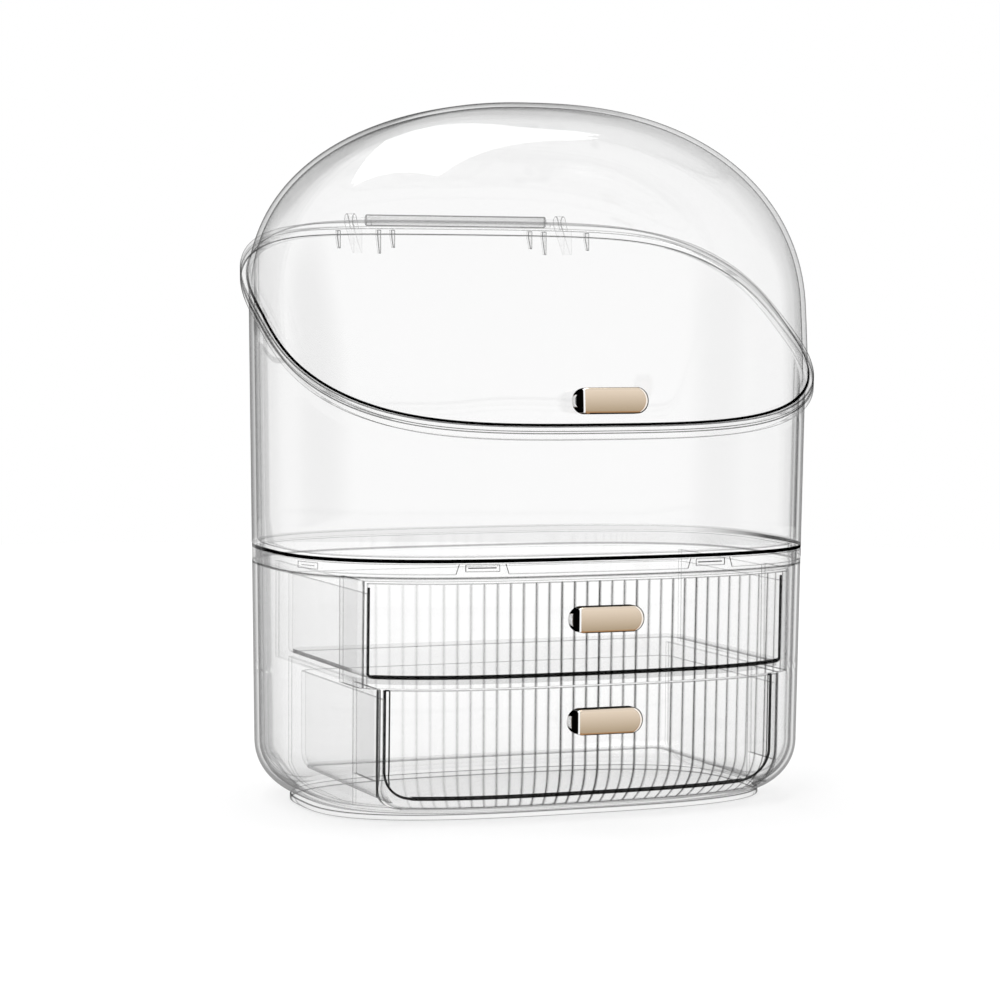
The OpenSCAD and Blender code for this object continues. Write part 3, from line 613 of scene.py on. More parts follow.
def snap_edges():
    """Edges of the snap windows, of the tabs beside them and of the shallow panels between
    the tabs, and a dark line of painted shade in the slit under each catch."""
    cords = []
    for s in (-1, 1):
        middle, dark = s * SNAP_X, (0.75, 0.4) if s < 0 else (0.4, 0.75)
        x0, x1 = middle - SNAP_HALF_W, middle + SNAP_HALF_W
        cords += box_of_threads(x0, x1, SNAP_BOTTOM, SNAP_TOP, (*dark, 0.3, 0.2))
        cords.append(thread(np.linspace(x0 + 1.2, x1 - 1.6, 7), np.full(7, SNAP_TOP - 1.5), 0.75, 0.28))
        for side in (-1, 1):
            top = middle + side * SNAP_TAB
            cords.append(thread(np.linspace(top, top + side * 1.6, 5),
                                np.linspace(SNAP_TOP + 0.5, SNAP_BOTTOM - 1.2, 5), 0.6))
        cords += box_of_threads(*sorted(s * x for x in END_SNAP), SNAP_BOTTOM - 0.3, SNAP_TOP - 0.5,
                                (0.3, 0.3, 0.25, 0.25))
        cords.append(thread(s * np.linspace(END_SNAP[1] - 0.8, END_SNAP[0] + 1, 5),
                            np.full(5, SNAP_TOP - 2), 0.3))
    for ends in SNAP_PANELS:
        x = np.linspace(*ends, 30)
        cords += [thread(x, 0 * x + SNAP_BOTTOM - 1.3, 0.22), thread(x, 0 * x + SNAP_TOP + 0.3, 0.14)]
    return cords


piece("tray_shell", [make_tray()], "cabinet", [TRAY_PLASTIC, PLATE_PLASTIC], "vanity_tray")
piece("tray_snap_windows", snap_edges(), "cabinet", [TRAY_PLASTIC], "vanity_tray")
piece("tray_hinge_posts", [back_rib(s * x, drop) for s in (-1, 1) for x, drop in RIBS]
      + [hinge_lug(-LUG_X), hinge_lug(LUG_X)], "cabinet", [TRAY_PLASTIC], "vanity_tray")


# ---- cabinet -------------------------------------------------------------------

def window_half(z):
    """Half width of the drawer window: the lower one with rounded bottom corners, then one
    wider step for the upper drawer."""
    drop = np.clip(WINDOW_BOTTOM + WINDOW_R - z, 0, WINDOW_R)
    low = LOWER_WINDOW - WINDOW_R + np.sqrt(WINDOW_R ** 2 - drop ** 2)
    return low + (UPPER_WINDOW - LOWER_WINDOW) * np.clip((z - (SPLIT_Z - 0.2)) / 0.4, 0, 1)


SIDE_STEPS, FRONT_STEPS = 260, 120      # columns round the sides and back, and across the front


def cabinet_row(z, inset, edge_z):
    """Ring of the cabinet that starts at the window's right edge, goes round the back to its
    left edge and then across the front. The edge is where the wall meets the half width."""
    edge = window_half(edge_z)
    a = np.arccos((edge / (half_w(z) - inset)) ** (PLAN_POWER / 2))
    strip = 0.005
    t = np.concatenate([[-a], np.linspace(strip - a, math.pi + a - strip, SIDE_STEPS - 2),
                        np.linspace(math.pi + a, 2 * math.pi - a, FRONT_STEPS)[:-1]])
    return level_ring(z, inset, t)


def make_cabinet():
    """Cabinet wall as one closed skin with the window left out: full rings below and above
    it, and between them a strip round the sides and back whose ends turn through the
    wall's thickness. The snap tongue rises from the wall's top."""
    turn = np.radians(np.linspace(90, 0, 14))
    corner = WINDOW_BOTTOM + WINDOW_R * (1 - np.cos(turn[::-1]))
    zs = np.concatenate([corner, np.linspace(corner[-1], SPLIT_Z - 0.2, 18)[1:],
                         np.linspace(SPLIT_Z + 0.2, WINDOW_TOP, 14)])

    def strip(offset):
        return np.stack([cabinet_row(z, belly_inset(z, offset), z)[:SIDE_STEPS] for z in zs])

    def bottom(offset):
        reach = BELLY_R - offset
        first = math.asin((BELLY_Z - WINDOW_BOTTOM) / reach)
        rings = [cabinet_row(BELLY_Z - reach * math.sin(a), BELLY_R - reach * math.cos(a),
                             WINDOW_BOTTOM) for a in np.linspace(first, math.pi / 2, 12)]
        return np.stack(rings + [pole(rings[-1])])

    across = lambda ring: np.concatenate([ring[SIDE_STEPS - 1:], ring[:1]])
    outer, inner, low_out, low_in = strip(0.0), strip(WALL), bottom(0.0), bottom(WALL)
    lip = [(WINDOW_TOP, 0, 0), (WINDOW_TOP + 0.3, 0, 0), (JOINT_Z - 0.7, 0, 0),
           (JOINT_Z - 0.3, 0, 0.35), (JOINT_Z, 0.3, 0.5), (JOINT_Z, 0.7, 0), (JOINT_Z, TONGUE_IN, 0),
           (TONGUE_TOP - 0.5, TONGUE_IN, 0), (TONGUE_TOP - 0.2, TONGUE_IN, 0.3),
           (TONGUE_TOP, TONGUE_IN + 0.2, 0.4), (TONGUE_TOP, TONGUE_IN + TONGUE_T, 0),
           (JOINT_Z - 1, TONGUE_IN + TONGUE_T, 0), (WINDOW_TOP + 0.3, WALL, 0), (WINDOW_TOP, WALL, 0)]
    top = np.stack([cabinet_row(z, inset, WINDOW_TOP) for z, inset, _ in lip])
    sill = np.stack([across(low_out[0]), across(low_in[0])])
    head = np.stack([across(top[0]), across(top[-1])])
    return body_of(sheet(outer, wrap_cols=False), sheet(inner, wrap_cols=False, turned=True),
                   # The window's left edge is painted darker than its right, a painted shade.
                   skin_edge(outer[:, 0], inner[:, 0], 0.5, True, 1),
                   skin_edge(outer[:, -1], inner[:, -1], 0.9, False, 1),
                   sheet(low_out, turned=True), sheet(low_in), sheet(sill, 0.5, wrap_cols=False),
                   sheet(top, [line for *_, line in lip]),
                   sheet(head, 0.4, wrap_cols=False, turned=True))


def window_return(s, x, z0, z1):
    """Flange beside the window: from the wall straight back, its front edge on the wall.
    Only narrow strips at its edges carry the line."""
    t, back, strip = RETURN_T, RETURN_BACK_Y, 0.45
    rows = []
    for z in np.linspace(z0, z1, 14):
        front = [-wall_y(v, z, belly_inset(z, 1.2)) for v in (x, x + strip, x + t)]
        loop = [(x, front[0]), (x, front[0] + strip), (x, back - strip), (x, back),
                (x + strip, back), (x + t - strip, back), (x + t, back), (x + t, back - strip),
                (x + t, front[2]), (x + strip, front[1])]
        rows.append([(s * u, y, z) for u, y in loop])
    return capped(rows, [[0.8, 0, 0, 0.35, 0, 0, 0.5, 0, 0, 0]])


def make_base():
    """Foot plate: the plan drawn smaller, with softly broken edges."""
    w, d = half_w(0) - FOOT_IN_W, half_d(0) - FOOT_IN_D
    x, y = plan(TURN)
    ring = lambda z, inset: np.stack([(w - inset) * x, (d - inset) * y, np.full(len(x), z)], -1)
    rows = [(0, 1.2, 0), (0, 0.5, 0.6), (0.15, 0.1, 0.7), (0.6, 0, 0), (BASE_T - 0.6, 0, 0),
            (BASE_T - 0.15, 0.1, 0.85), (BASE_T, 0.5, 0.7), (BASE_T, 1.2, 0)]
    return capped([ring(z, inset) for z, inset, _ in rows], [line for *_, line in rows])


def lowest(x, y, z0):
    """Lowest height from z0 upwards at which a place lies inside the cabinet's inner face."""
    z = np.linspace(z0, BELLY_Z, 120)
    inset = belly_inset(z, WALL) + 0.1
    inside = (np.abs(x) < half_w(z) - inset) & (abs(y) < wall_y(x, z, inset))
    return z[np.argmax(inside)]


def guide_wall(s, x, z0, z1):
    """Upright plate beside a drawer. Its foot follows the belly's inner face."""
    ys = np.linspace(GUIDE_FRONT_Y, GUIDE_BACK_Y, 26)
    foot = [(y, max(lowest(x + GUIDE_T, y, BASE_T + WALL), z0)) for y in ys]
    outline = foot + [(GUIDE_BACK_Y, z1), (GUIDE_FRONT_Y, z1)]
    xs = sorted((s * x, s * (x + GUIDE_T)))
    return prism(outline, *xs, edges=(0.3, 0.3))


def make_shelf():
    """Shelf between the drawers: a level plate whose front edge follows the front wall."""
    x = np.linspace(UPPER_WINDOW - 0.2, 0.2 - UPPER_WINDOW, 161)
    front = np.column_stack([x, -wall_y(x, SHELF_Z, FRONT_T + 4.5)])
    wide = UPPER_WINDOW + GUIDE_T
    sides = [(-UPPER_WINDOW, GUIDE_FRONT_Y), (-wide, GUIDE_FRONT_Y), (-wide, GUIDE_BACK_Y),
             (wide, GUIDE_BACK_Y), (wide, GUIDE_FRONT_Y), (UPPER_WINDOW, GUIDE_FRONT_Y)]
    return plate(np.concatenate([sides, front]), SHELF_Z, SHELF_Z + SHELF_T,
                 np.repeat([0.0, 0.25], [len(sides), len(front)]))


def ledge(s):
    """Narrow strip that carries the lower drawer, clear of the belly at both its ends."""
    back, top = GUIDE_BACK_Y - 8, LEDGE_Z + GUIDE_T
    outline = [(GUIDE_FRONT_Y, LEDGE_Z), (back, LEDGE_Z), (back, top), (GUIDE_FRONT_Y, top)]
    return prism(outline, *sorted((s * (LOWER_WINDOW - LEDGE_W), s * LOWER_WINDOW)))


def jamb_line(s, dark):
    """Dark line where the flange beside the lower drawer meets the wall, which draws in as
    the belly does."""
    z = np.linspace(WINDOW_BOTTOM + 6.5, SPLIT_Z - 0.5, 32)
    x = LOWER_WINDOW + 0.6 - 0.45 * belly_inset(z)
    return thread(s * x, z, dark, JAMB_R, belly_inset(z, WALL - 0.6))


guides = [guide_wall(s, x, z0, z1) for s in (-1, 1) for x, z0, z1 in (
    (UPPER_WINDOW, SHELF_Z, WINDOW_TOP - 0.5), (LOWER_WINDOW, 0, SHELF_Z))]
flanges = [window_return(s, x, z0, z1) for s in (-1, 1) for x, z0, z1 in (
    (UPPER_WINDOW, SPLIT_Z, WINDOW_TOP + 0.3), (LOWER_WINDOW, 22.0, SPLIT_Z))]
piece("drawer_guides", guides + [make_shelf(), ledge(-1), ledge(1)], "cabinet",
      [BOX_PLASTIC, PLATE_PLASTIC], "drawer_frame")
piece("cabinet_shell_wall", [make_cabinet()], "cabinet", [CABINET_PLASTIC, PLATE_PLASTIC],
      "cabinet_shell")
# The left jamb's line is painted darker than the right's, a painted shade.
piece("cabinet_window_returns", flanges + [jamb_line(-1, 1.0), jamb_line(1, 0.5)], "cabinet",
      [CABINET_PLASTIC], "cabinet_shell")
piece("foot_plate", [make_base()], "cabinet", [CABINET_PLASTIC, PLATE_PLASTIC], "base_plate")


# ---- drawers -------------------------------------------------------------------

def valley_places():
    """Side position of each valley: equal steps of one pitch along the front's curve."""
    a, b = half_w(PANEL_REF_Z), half_d(PANEL_REF_Z)
    x = np.linspace(0, 0.9 * a, 20000)
    y = b * (1 - (x / a) ** PLAN_POWER) ** (1 / PLAN_POWER)
    arc = np.concatenate([[0], np.cumsum(np.hypot(np.diff(x), np.diff(y)))])
    return np.interp(FLUTE_PITCH * np.arange(FLUTES_EACH_SIDE + 1), arc, x) / a


VALLEYS = valley_places()
COLUMNS_PER_FLUTE = 12
SEAT_INSET = 2.2      # distance of the seam with the box from a front's ends
CORNER_R = WINDOW_R - DRAWER_GAP      # of the lower drawer's front
# Painted shade in each valley's line, from the left end to the right: faint at the left,
# darkest just right of the middle, a little uneven.
VALLEY_PAINTED_SHADE = np.interp(np.arange(-FLUTES_EACH_SIDE, FLUTES_EACH_SIDE + 1),
                        [-19, -12, -7, 2, 12, 19], [0.12, 0.25, 0.72, 0.92, 0.75, 0.7])
VALLEY_PAINTED_SHADE *= 0.8 + 0.4 * np.random.default_rng(7).random(len(VALLEY_PAINTED_SHADE))


def front_points(u, z, inset, depth):
    """Points of a drawer front: a share u of the half width on the superellipse at a
    height, moved inwards along the plan's normal by a depth."""
    a, b = half_w(z) - inset, half_d(z) - inset
    v = (1 - np.abs(u) ** PLAN_POWER) ** (1 / PLAN_POWER)
    gx, gy = signed_pow(u, PLAN_POWER - 1) / a, -v ** (PLAN_POWER - 1) / b
    g = np.hypot(gx, gy)
    return np.stack([a * u - depth * gx / g, -b * v - depth * gy / g, np.broadcast_to(z, u.shape)], -1)


def seam_radius(corner_r):
    """Radius of the seam's lower corners, for a front with rounded or square corners."""
    return corner_r + 2.3 if corner_r else 1.5


def make_seam(half, z1, corner_r, floor_z):
    """U-shaped seam where a drawer's box meets its front: down from the top at one end,
    round the corner, along the floor and up at the other end. Where the corners are round,
    the inner faces of the side walls draw a finer line of their own."""
    side, r, low = half - SEAT_INSET, seam_radius(corner_r), floor_z + 1.0
    top = z1 - (0.6 if corner_r else 2.5)
    turn, down, along = np.radians(np.linspace(0, 90, 12))[1:], 14, 39
    x = np.concatenate([np.full(down, side), side - r * (1 - np.cos(turn)),
                        np.linspace(side - r, 0, along + 1)[1:]])
    z = np.concatenate([np.linspace(top, low + r, down), low + r * (1 - np.sin(turn)),
                        np.full(along, low)])
    cord = lambda x, z, dark, r: thread(x, z, dark, r, belly_inset(z, FRONT_T + 0.5))
    cords = [cord(np.concatenate([-x, x[-2::-1]]), np.concatenate([z, z[-2::-1]]), 1.0, SEAM_R)]
    if corner_r:
        foot = low + 0.4 * r
        z = np.linspace(top, foot, 24)
        round_in = r - np.sqrt(r ** 2 - np.clip(low + r - z, 0, r) ** 2)
        x = side - DRAWER_T * np.clip((z - foot) / 8, 0, 1) ** 0.5 - round_in
        # The fine line on the left is painted darker than on the right, a painted shade.
        cords += [cord(-x, z, 0.85, FINE_SEAM_R), cord(x, z, 0.5, FINE_SEAM_R)]
        cap, level = np.linspace(side, side - DRAWER_T, 4), np.full(4, top)
        cords += [cord(-cap, level, 0.85, FINE_SEAM_R), cord(cap, level, 0.85, FINE_SEAM_R)]
    return cords


def make_front(half, z0, z1, corner_r, floor_z):
    """Fluted drawer front: columns stand at fixed shares of the width, twelve to a flute,
    and only the last ones are drawn in to the front's rounded outline. The outside dips at
    each valley by one less the size of a sine, and the inside is plain."""
    if corner_r:
        turn = np.radians(np.linspace(0, 90, 26))
        zs = np.concatenate([z0 + corner_r * (1 - np.cos(turn)),
                             np.linspace(z0 + corner_r, z1 - 0.6, 24)[1:], [z1 - 0.3, z1]])
    else:
        zs = np.concatenate([[z0, z0 + 0.3], np.linspace(z0 + 0.6, z1 - 0.6, 26), [z1 - 0.3, z1]])
    drop = np.clip(z0 + corner_r - zs, 0, corner_r)
    edge = half - corner_r + np.sqrt(np.maximum(corner_r ** 2 - drop ** 2, 0))
    inset_out, inset_in = belly_inset(zs), belly_inset(zs, FRONT_T)
    share = edge / (half_w(zs) - inset_out)
    flutes = np.arange(FLUTES_EACH_SIDE + 1)
    count = np.arange(0, FLUTES_EACH_SIDE * COLUMNS_PER_FLUTE + 1) / COLUMNS_PER_FLUTE
    u = np.interp(count, flutes, VALLEYS)
    fixed = u[u < share.min() - 0.006]
    tail = np.linspace(0, 1, 30)[1:]
    right = np.stack([np.concatenate([fixed, fixed[-1] + (e - fixed[-1]) * tail]) for e in share])
    u = np.concatenate([-right[:, :0:-1], right], 1)
    turns = np.interp(np.abs(u), VALLEYS, flutes)
    depth = FLUTE_DEPTH * (1 - np.abs(np.sin(math.pi * turns)))
    outer = np.stack([front_points(*row) for row in zip(u, zs, inset_out, depth)])
    inner = np.stack([front_points(*row) for row in zip(u, zs, inset_in, 0 * depth)])
    off = np.abs(turns - np.rint(turns)) * COLUMNS_PER_FLUTE
    nearest = np.rint(turns * np.sign(u)).astype(int) + FLUTES_EACH_SIDE
    valley = VALLEY_PAINTED_SHADE[nearest] * np.clip(1 - 0.5 * off, 0, 1) ** 1.3
    # painted shade: a faint darkening beside each valley
    valley += 0.035 * np.clip(1 - off / 5, 0, 1)
    valley = np.where(np.abs(u) < fixed[-1] + 0.003, valley, 0)
    valley = np.maximum(valley, np.where(zs > z1 - 0.35, 0.5, 0)[:, None])
    front = body_of(sheet(outer, valley, wrap_cols=False), sheet(inner, wrap_cols=False, turned=True),
                    # The front's left end is painted darker than its right, a painted shade.
                    skin_edge(outer[:, 0], inner[:, 0], 0.5, True, 1),
                    skin_edge(outer[:, -1], inner[:, -1], 0.35, False, 1),
                    skin_edge(outer[0], inner[0], 0.3, True),
                    skin_edge(outer[-1], inner[-1], 0.5, False))
    return [front] + make_seam(half, z1, corner_r, floor_z)


def box_outline(hw, back, r, front_z):
    """Plan outline of a drawer's box: from its left front corner straight back, round the
    two back corners and forward again. The front ends lie in the front's wall."""
    a = np.radians(np.linspace(180, 90, 14))
    left = np.column_stack([-hw + r + r * np.cos(a), back - r + r * np.sin(a)])
    straight = np.linspace(-wall_y(hw, front_z, 2.0), back - r, 16)[:-1]
    half = np.concatenate([np.column_stack([np.full(15, -hw), straight]), left])
    return np.concatenate([half, half[::-1] * (-1, 1)])


def make_box(half, z0, z1, round_z, r, side_shade, corner_r):
    """Drawer box behind its front: a wall round three sides with a soft top edge, rounded
    into the floor by a quarter circle, and a floor plate whose front edge follows the
    front's inner face."""
    hw, bend_z = half - 0.3, max(round_z + r, z0 + 2)
    zs = np.concatenate([np.linspace(z0, bend_z, 8), np.linspace(bend_z, z1 - 0.4, 6)[1:]])
    squeeze = lambda z: r - math.sqrt(max(r * r - max(round_z + r - z, 0) ** 2, 0))

    def ring(z, inset):
        o = box_outline(hw - inset, DRAWER_BACK_Y - inset, 8 - inset, max(z, BELLY_Z))
        return np.column_stack([o[:, 0] * (hw - squeeze(z)) / hw, o[:, 1], np.full(len(o), z)])

    rows = [(z, 0.0, 0) for z in zs]
    rows += [(z1 - 0.1, 0.1, 0.25), (z1, 0.5, 0.4), (z1, DRAWER_T - 0.5, 0.4),
             (z1 - 0.1, DRAWER_T - 0.1, 0.25)] + [(z, DRAWER_T, 0) for z in zs[::-1]]
    rings, line = np.stack([ring(z, inset) for z, inset, _ in rows]), [dark for *_, dark in rows]
    line[0] = line[-1] = 0.35
    n, left, right = len(rings) // 2, rings[:, 0], rings[:, -1]
    walls = body_of(sheet(rings, line, wrap_rows=True, wrap_cols=False),
                    skin_edge(left[:n], left[:n - 1:-1], 0, True, 1),
                    skin_edge(right[:n], right[:n - 1:-1], 0, False, 1))

    o = ring(z0 + 0.05, 0.05)[:, :2]
    fx = np.linspace(1, -1, 121)[1:-1] * o[:, 0].max()
    front = np.column_stack([fx, -wall_y(fx, z0, belly_inset(z0, FRONT_T + 0.05))])
    x, y = np.concatenate([o, front]).T
    # painted shade: the floor's edge along the left side is dark, along the right faint
    side_painted_shade = side_shade * np.where((x < 0) & (y > -42), 1.0, 0.15)
    dark = np.where(y < DRAWER_BACK_Y - 6, side_painted_shade, 0.1)
    seam = np.abs(front[:, 0]) < half - SEAT_INSET - seam_radius(corner_r)
    dark[len(o):] = np.where(seam, 1.0, 0.0)
    return [walls, plate(np.column_stack([x, y]), z0, z0 + DRAWER_T, dark, 0.4)]


for drawer, front, box in (
        ("upper_drawer",
         (UPPER_HALF_W, SPLIT_Z + FRONT_GAP, WINDOW_TOP - DRAWER_GAP, 0.0, UPPER_FLOOR_Z),
         (UPPER_HALF_W, UPPER_FLOOR_Z, WINDOW_TOP - 6, UPPER_FLOOR_Z, 3.0, 0.7, 0.0)),
        ("lower_drawer",
         (LOWER_HALF_W, WINDOW_BOTTOM + DRAWER_GAP, SPLIT_Z - FRONT_GAP, CORNER_R, LOWER_FLOOR_Z),
         (LOWER_HALF_W, LOWER_FLOOR_Z, SPLIT_Z - 5, WINDOW_BOTTOM + DRAWER_GAP, CORNER_R, 0.15,
          CORNER_R))):
    piece(drawer + "_fluted_front", make_front(*front), drawer + "_body", [DRAWER_PLASTIC], drawer)
    piece(drawer + "_box", make_box(*box), drawer + "_body", [BOX_PLASTIC, PLATE_PLASTIC], drawer)


# ---- pulls ---------------------------------------------------------------------

def make_pull(place):
    """Stadium-shaped pull on a neck: rings inset from its outline, from the middle of its
    back over a rounded edge to the middle of its face. The edge's radius grows with the
    cosine round the right end, and the left end bends back by a quarter ellipse. The line
    attribute holds the height across the face, along which the film is painted lighter
    towards the top. Its back, its sides and its lower rounded edge, all but the left end,
    take the dark wall finish of painted shade."""
    reach, r, bend, bend_w, neck_r = (HANDLE_W - HANDLE_H) / 2, HANDLE_H / 2, 4.5, 4.2, 3.1
    bend_x = bend_w - HANDLE_W / 2
    a = np.radians(np.linspace(-90, 90, 25))
    run = np.linspace(reach, -reach, 25)[1:-1]
    centre = np.concatenate([np.full(25, reach), run, np.full(25, -reach), -run])
    ux = np.concatenate([np.cos(a), 0 * run, -np.cos(a), 0 * run])
    uz = np.concatenate([np.sin(a), 0 * run + 1, -np.sin(a), 0 * run - 1])
    edge = 1.2 + 1.6 * np.maximum(ux, 0)
    turn = np.radians(np.linspace(0, 90, 9))[:, None]
    flat = np.linspace(0, 1, 13)[1:, None]
    back = np.ones_like(edge)
    inset = np.concatenate([np.outer([r, 0.25, 0, 0], back), edge * (1 - np.cos(turn)),
                            edge + (r - edge) * flat])
    out = np.concatenate([np.outer([0, 0, 0.25, 2.2], back), HANDLE_D - edge + edge * np.sin(turn),
                          HANDLE_D + 0 * edge * flat])
    x, z = centre + ux * (r - inset), uz * (r - inset)
    over = np.clip(bend_x - x, 0, bend_w) / bend_w
    out = np.minimum(out, HANDLE_D - bend + bend * np.sqrt(1 - over ** 2))
    skin = sheet(place(np.stack([x, -out - HANDLE_STAND, z], -1)), 0.5 + 0.5 * z / r)
    row, column = np.arange(len(x) - 1)[:, None], np.arange(len(ux))
    left = (column >= 48) & (column < 72)
    # painted shade: these faces take the dark wall finish; the rest outside the satin face takes the
    # polished finish with its painted reflection
    wall = (row < 4) | ((row < 9) & (uz < -0.3))
    middle = (x[1:] + x[:-1]) / 2
    satin = (row >= 12) & ((middle + np.roll(middle, -1, 1)) / 2 > bend_x)
    skin["material"] = np.where(satin, 0, np.where(wall & ~left, 2, 1)).reshape(-1)
    ends = np.column_stack([neck_r * np.cos(a), neck_r * np.sin(a)])
    ring = np.concatenate([ends + (reach, 0), -ends - (reach, 0)])
    neck = [np.column_stack([ring[:, 0], np.full(len(ring), -out), ring[:, 1]])
            for out in (0.0, HANDLE_STAND + 0.4)]
    return [body_of(skin), capped(place(np.stack(neck)), material=1)]


def on_front(z):
    """Moves points drawn about the origin to a drawer's front at a height."""
    return lambda p: p + (0, -half_d(z) - 0.1, z)


def dome_front(z):
    """Half depth of the dome's outer face in the middle of its front."""
    return (half_d(z) + LID_STEP) * plan_share(z, FRONT_FLANK, TOTAL_H)


def on_lid(p):
    """Leans points with the dome's front and moves them onto it."""
    lean = math.atan((dome_front(LID_HANDLE_Z - 4) - dome_front(LID_HANDLE_Z + 4)) / 8)
    c, s = math.cos(lean), math.sin(lean)
    x, y, z = p[..., 0], p[..., 1] - 0.1, p[..., 2]
    return np.stack([x, c * y + s * z - dome_front(LID_HANDLE_Z), c * z - s * y + LID_HANDLE_Z], -1)


for name, body, node, place in (
        ("lid_pull", "lid", "lid_handle", on_lid),
        ("upper_drawer_pull", "upper_drawer_body", "upper_drawer_handle", on_front(UPPER_HANDLE_Z)),
        ("lower_drawer_pull", "lower_drawer_body", "lower_drawer_handle", on_front(LOWER_HANDLE_Z))):
    piece(name, make_pull(place), body, [PULL_FACE_PAINTED_LIGHT, PULL_SIDE_PAINTED_REFLECTION, PULL_WALL_PAINTED_SHADE], node)


# ---- solids that stay ------------------------------------------------------------

for node, finish in (("hinge_pins", TRAY_PLASTIC), ("lid_handle_screws", SCREW_STEEL),
                     ("upper_handle_screws", SCREW_STEEL), ("lower_handle_screws", SCREW_STEEL)):
    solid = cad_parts[node].data
    solid.materials.clear()
    solid.materials.append(finish)


# ---- studio --------------------------------------------------------------------

def seen_directly(tree):
    """The kinds of a ray, and one where it comes from the eye, straight or through a wall."""
    ray = add(tree, "LightPath").outputs
    return ray, add(tree, "Math", {0: ray["Is Camera Ray"], 1: ray["Is Transmission Ray"]},
                    operation="MAXIMUM")


def make_floor():
    """Round white table top that catches the shadow and fades into the white around it."""
    mesh = bpy.data.meshes.new("studio_floor")
    a = np.linspace(0, 2 * math.pi, 96, endpoint=False)
    ring = np.column_stack([1.6 * np.cos(a), 1.6 * np.sin(a), np.full(96, -0.0005)])
    mesh.from_pydata(ring.tolist(), [], [list(range(96))])
    material, tree = new_material("white_studio_floor")
    paint = add(tree, "BsdfDiffuse", {"Color": linear("#808080")})
    ray, seen = seen_directly(tree)
    place = add(tree, "TexCoord").outputs["Object"]
    reach = add(tree, "VectorMath", {0: place}, operation="LENGTH")
    far = add(tree, "MapRange", {"Value": reach, "From Min": 0.3, "From Max": 1.6, "To Min": 0.66,
                                 "To Max": 0.8})
    level = add(tree, "Math", {0: seen, 1: far}, operation="MULTIPLY")
    glow = add(tree, "Emission", {"Color": linear("#FFFFFF"), "Strength": level})
    both = add(tree, "AddShader", {0: paint, 1: glow})
    white = add(tree, "Emission", {"Color": linear("#FFFFFF"), "Strength": 0.96})
    mix = add(tree, "MixShader", {0: ray["Is Glossy Ray"], 1: both, 2: white})
    add(tree, "OutputMaterial", {"Surface": mix})
    mesh.materials.append(material)
    in_scene("studio_floor", mesh)


# Black cards that draw the edges in reflections: heading from the back towards the right,
# elevation and angular radius in degrees, how bright each one is and how soft its edge
BLACK_CARDS = ((40, 5, 50, 0.2, 2), (-78, 4, 22, 0.04, 14))


def make_world():
    """White for the eye, and for reflections a white room with round black cards in it."""
    world = bpy.data.worlds.new("studio")
    bpy.context.scene.world = world
    world.use_nodes = True
    tree = world.node_tree
    tree.nodes.clear()
    white = add(tree, "Background", {"Color": linear("#FFFFFF"), "Strength": 1.0})
    place = add(tree, "TexCoord").outputs["Generated"]
    level = 1.0
    for heading, rise, radius, bright, soft in BLACK_CARDS:
        h, r = math.radians(heading), math.radians(rise)
        middle = (math.sin(h) * math.cos(r), math.cos(h) * math.cos(r), math.sin(r))
        turn = add(tree, "VectorMath", {0: place, 1: middle}, operation="DOT_PRODUCT")
        card = add(tree, "MapRange", {"Value": turn, "To Min": 1.0, "To Max": bright,
                                      "From Min": math.cos(math.radians(radius + soft)),
                                      "From Max": math.cos(math.radians(radius - soft))})
        level = add(tree, "Math", {0: level, 1: card}, operation="MULTIPLY")
    room = add(tree, "Background", {"Color": linear("#FFFFFF"), "Strength": level})
    mix = add(tree, "MixShader", {0: seen_directly(tree)[1], 1: room, 2: white})
    add(tree, "OutputWorld", {"Surface": mix})


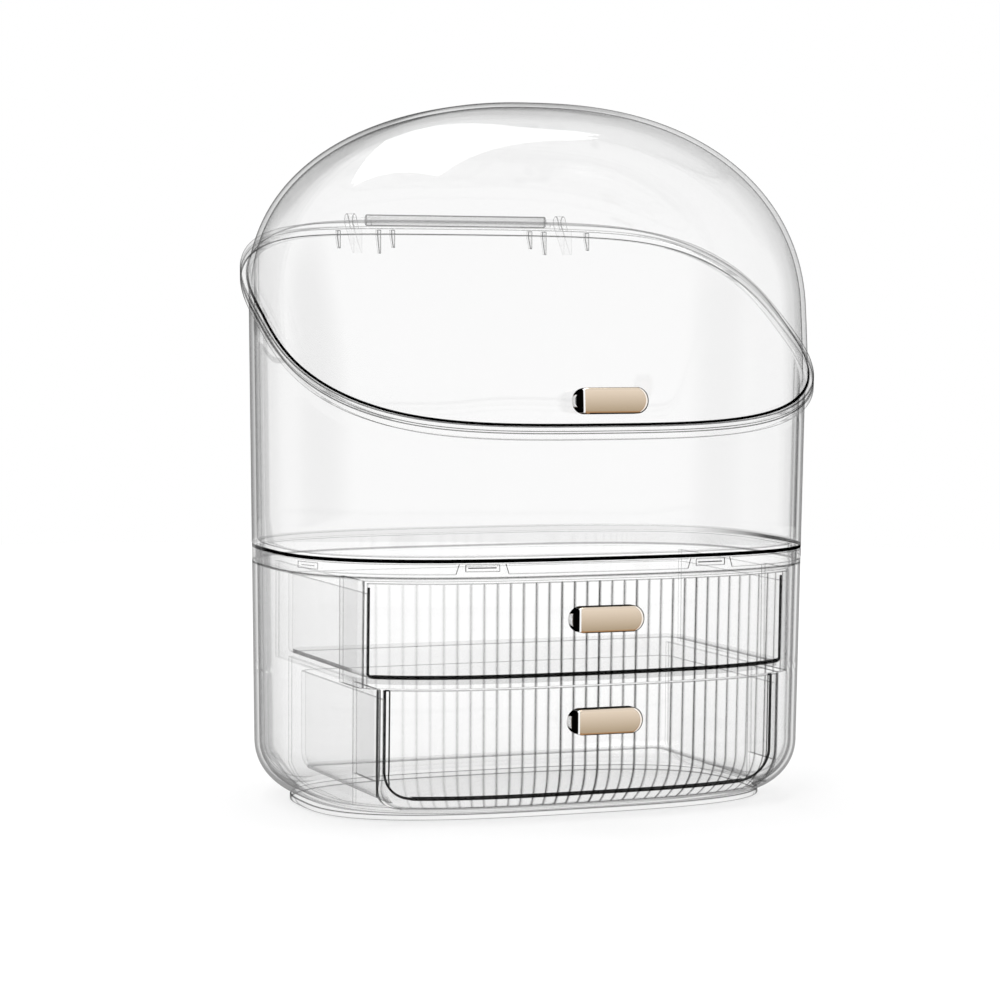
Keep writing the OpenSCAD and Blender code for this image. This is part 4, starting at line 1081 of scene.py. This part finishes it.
def softbox(name, place, target, size, watts, reflected=False, spin=0.0):
    """Rectangular area lamp that looks at a point, all in metres. Only a lamp that is said
    to be reflected shows in the plastic."""
    light = bpy.data.lights.new(name, "AREA")
    light.shape = "RECTANGLE"
    light.size, light.size_y = size
    light.energy = watts
    lamp = in_scene(name, light)
    lamp.visible_glossy = reflected
    lamp.location = place
    look = (Vector(target) - Vector(place)).to_track_quat("-Z", "Y")
    lamp.rotation_euler = (Matrix.Rotation(math.radians(spin), 3, "Z") @ look.to_matrix()).to_euler()


def make_camera():
    """Camera at the catalogue view: azimuth, height and distance about a point on the
    object's axis, then small turns of its right, up and ahead axes that frame it."""
    azimuth, elevation, yaw, pitch, roll = np.radians([22.431, 3.186, -0.484, -0.691, 0.399])
    distance, focal_in_widths = 1662.556, 3.285506
    ahead = np.array([math.sin(azimuth) * math.cos(elevation),
                      math.cos(azimuth) * math.cos(elevation), -math.sin(elevation)])
    place = np.array([0, 0, 170.0]) - ahead * distance
    right = np.cross(ahead, [0, 0, 1])
    right /= np.linalg.norm(right)
    axes = np.stack([right, np.cross(right, ahead), ahead])
    for angle, a, b in ((yaw, 2, 0), (pitch, 2, 1), (roll, 0, 1)):
        axes[a], axes[b] = (axes[a] * math.cos(angle) + axes[b] * math.sin(angle),
                            axes[b] * math.cos(angle) - axes[a] * math.sin(angle))
    data = bpy.data.cameras.new("catalogue_view")
    data.sensor_width = 36
    data.lens = focal_in_widths * data.sensor_width
    data.clip_end = 100
    camera = in_scene("catalogue_view", data)
    matrix = np.eye(4)
    matrix[:3, :3] = (axes * [[1], [1], [-1]]).T
    matrix[:3, 3] = place * MM
    camera.matrix_world = Matrix(matrix.tolist())
    bpy.context.scene.camera = camera


make_floor()
make_world()
make_camera()
softbox("key_softbox", (-1.2, -1.3, 1.9), (0, 0, 0.2), (0.9, 0.9), 28)
softbox("fill_softbox", (1.6, -0.8, 1.2), (0, 0, 0.15), (0.8, 1.2), 12)
softbox("back_softbox", (0.2, 1.8, 1.4), (0, 0, 0.2), (1.6, 1.0), 16)
softbox("overhead_softbox", (-0.04, 0.25, 1.75), (-0.04, 0.25, 0.3), (1.15, 0.93), 14, True, -42.7)

scene = bpy.context.scene
scene.view_settings.view_transform = "Standard"
scene.cycles.transparent_max_bounces = 64
scene.cycles.max_bounces = 16
scene.cycles.glossy_bounces = 8
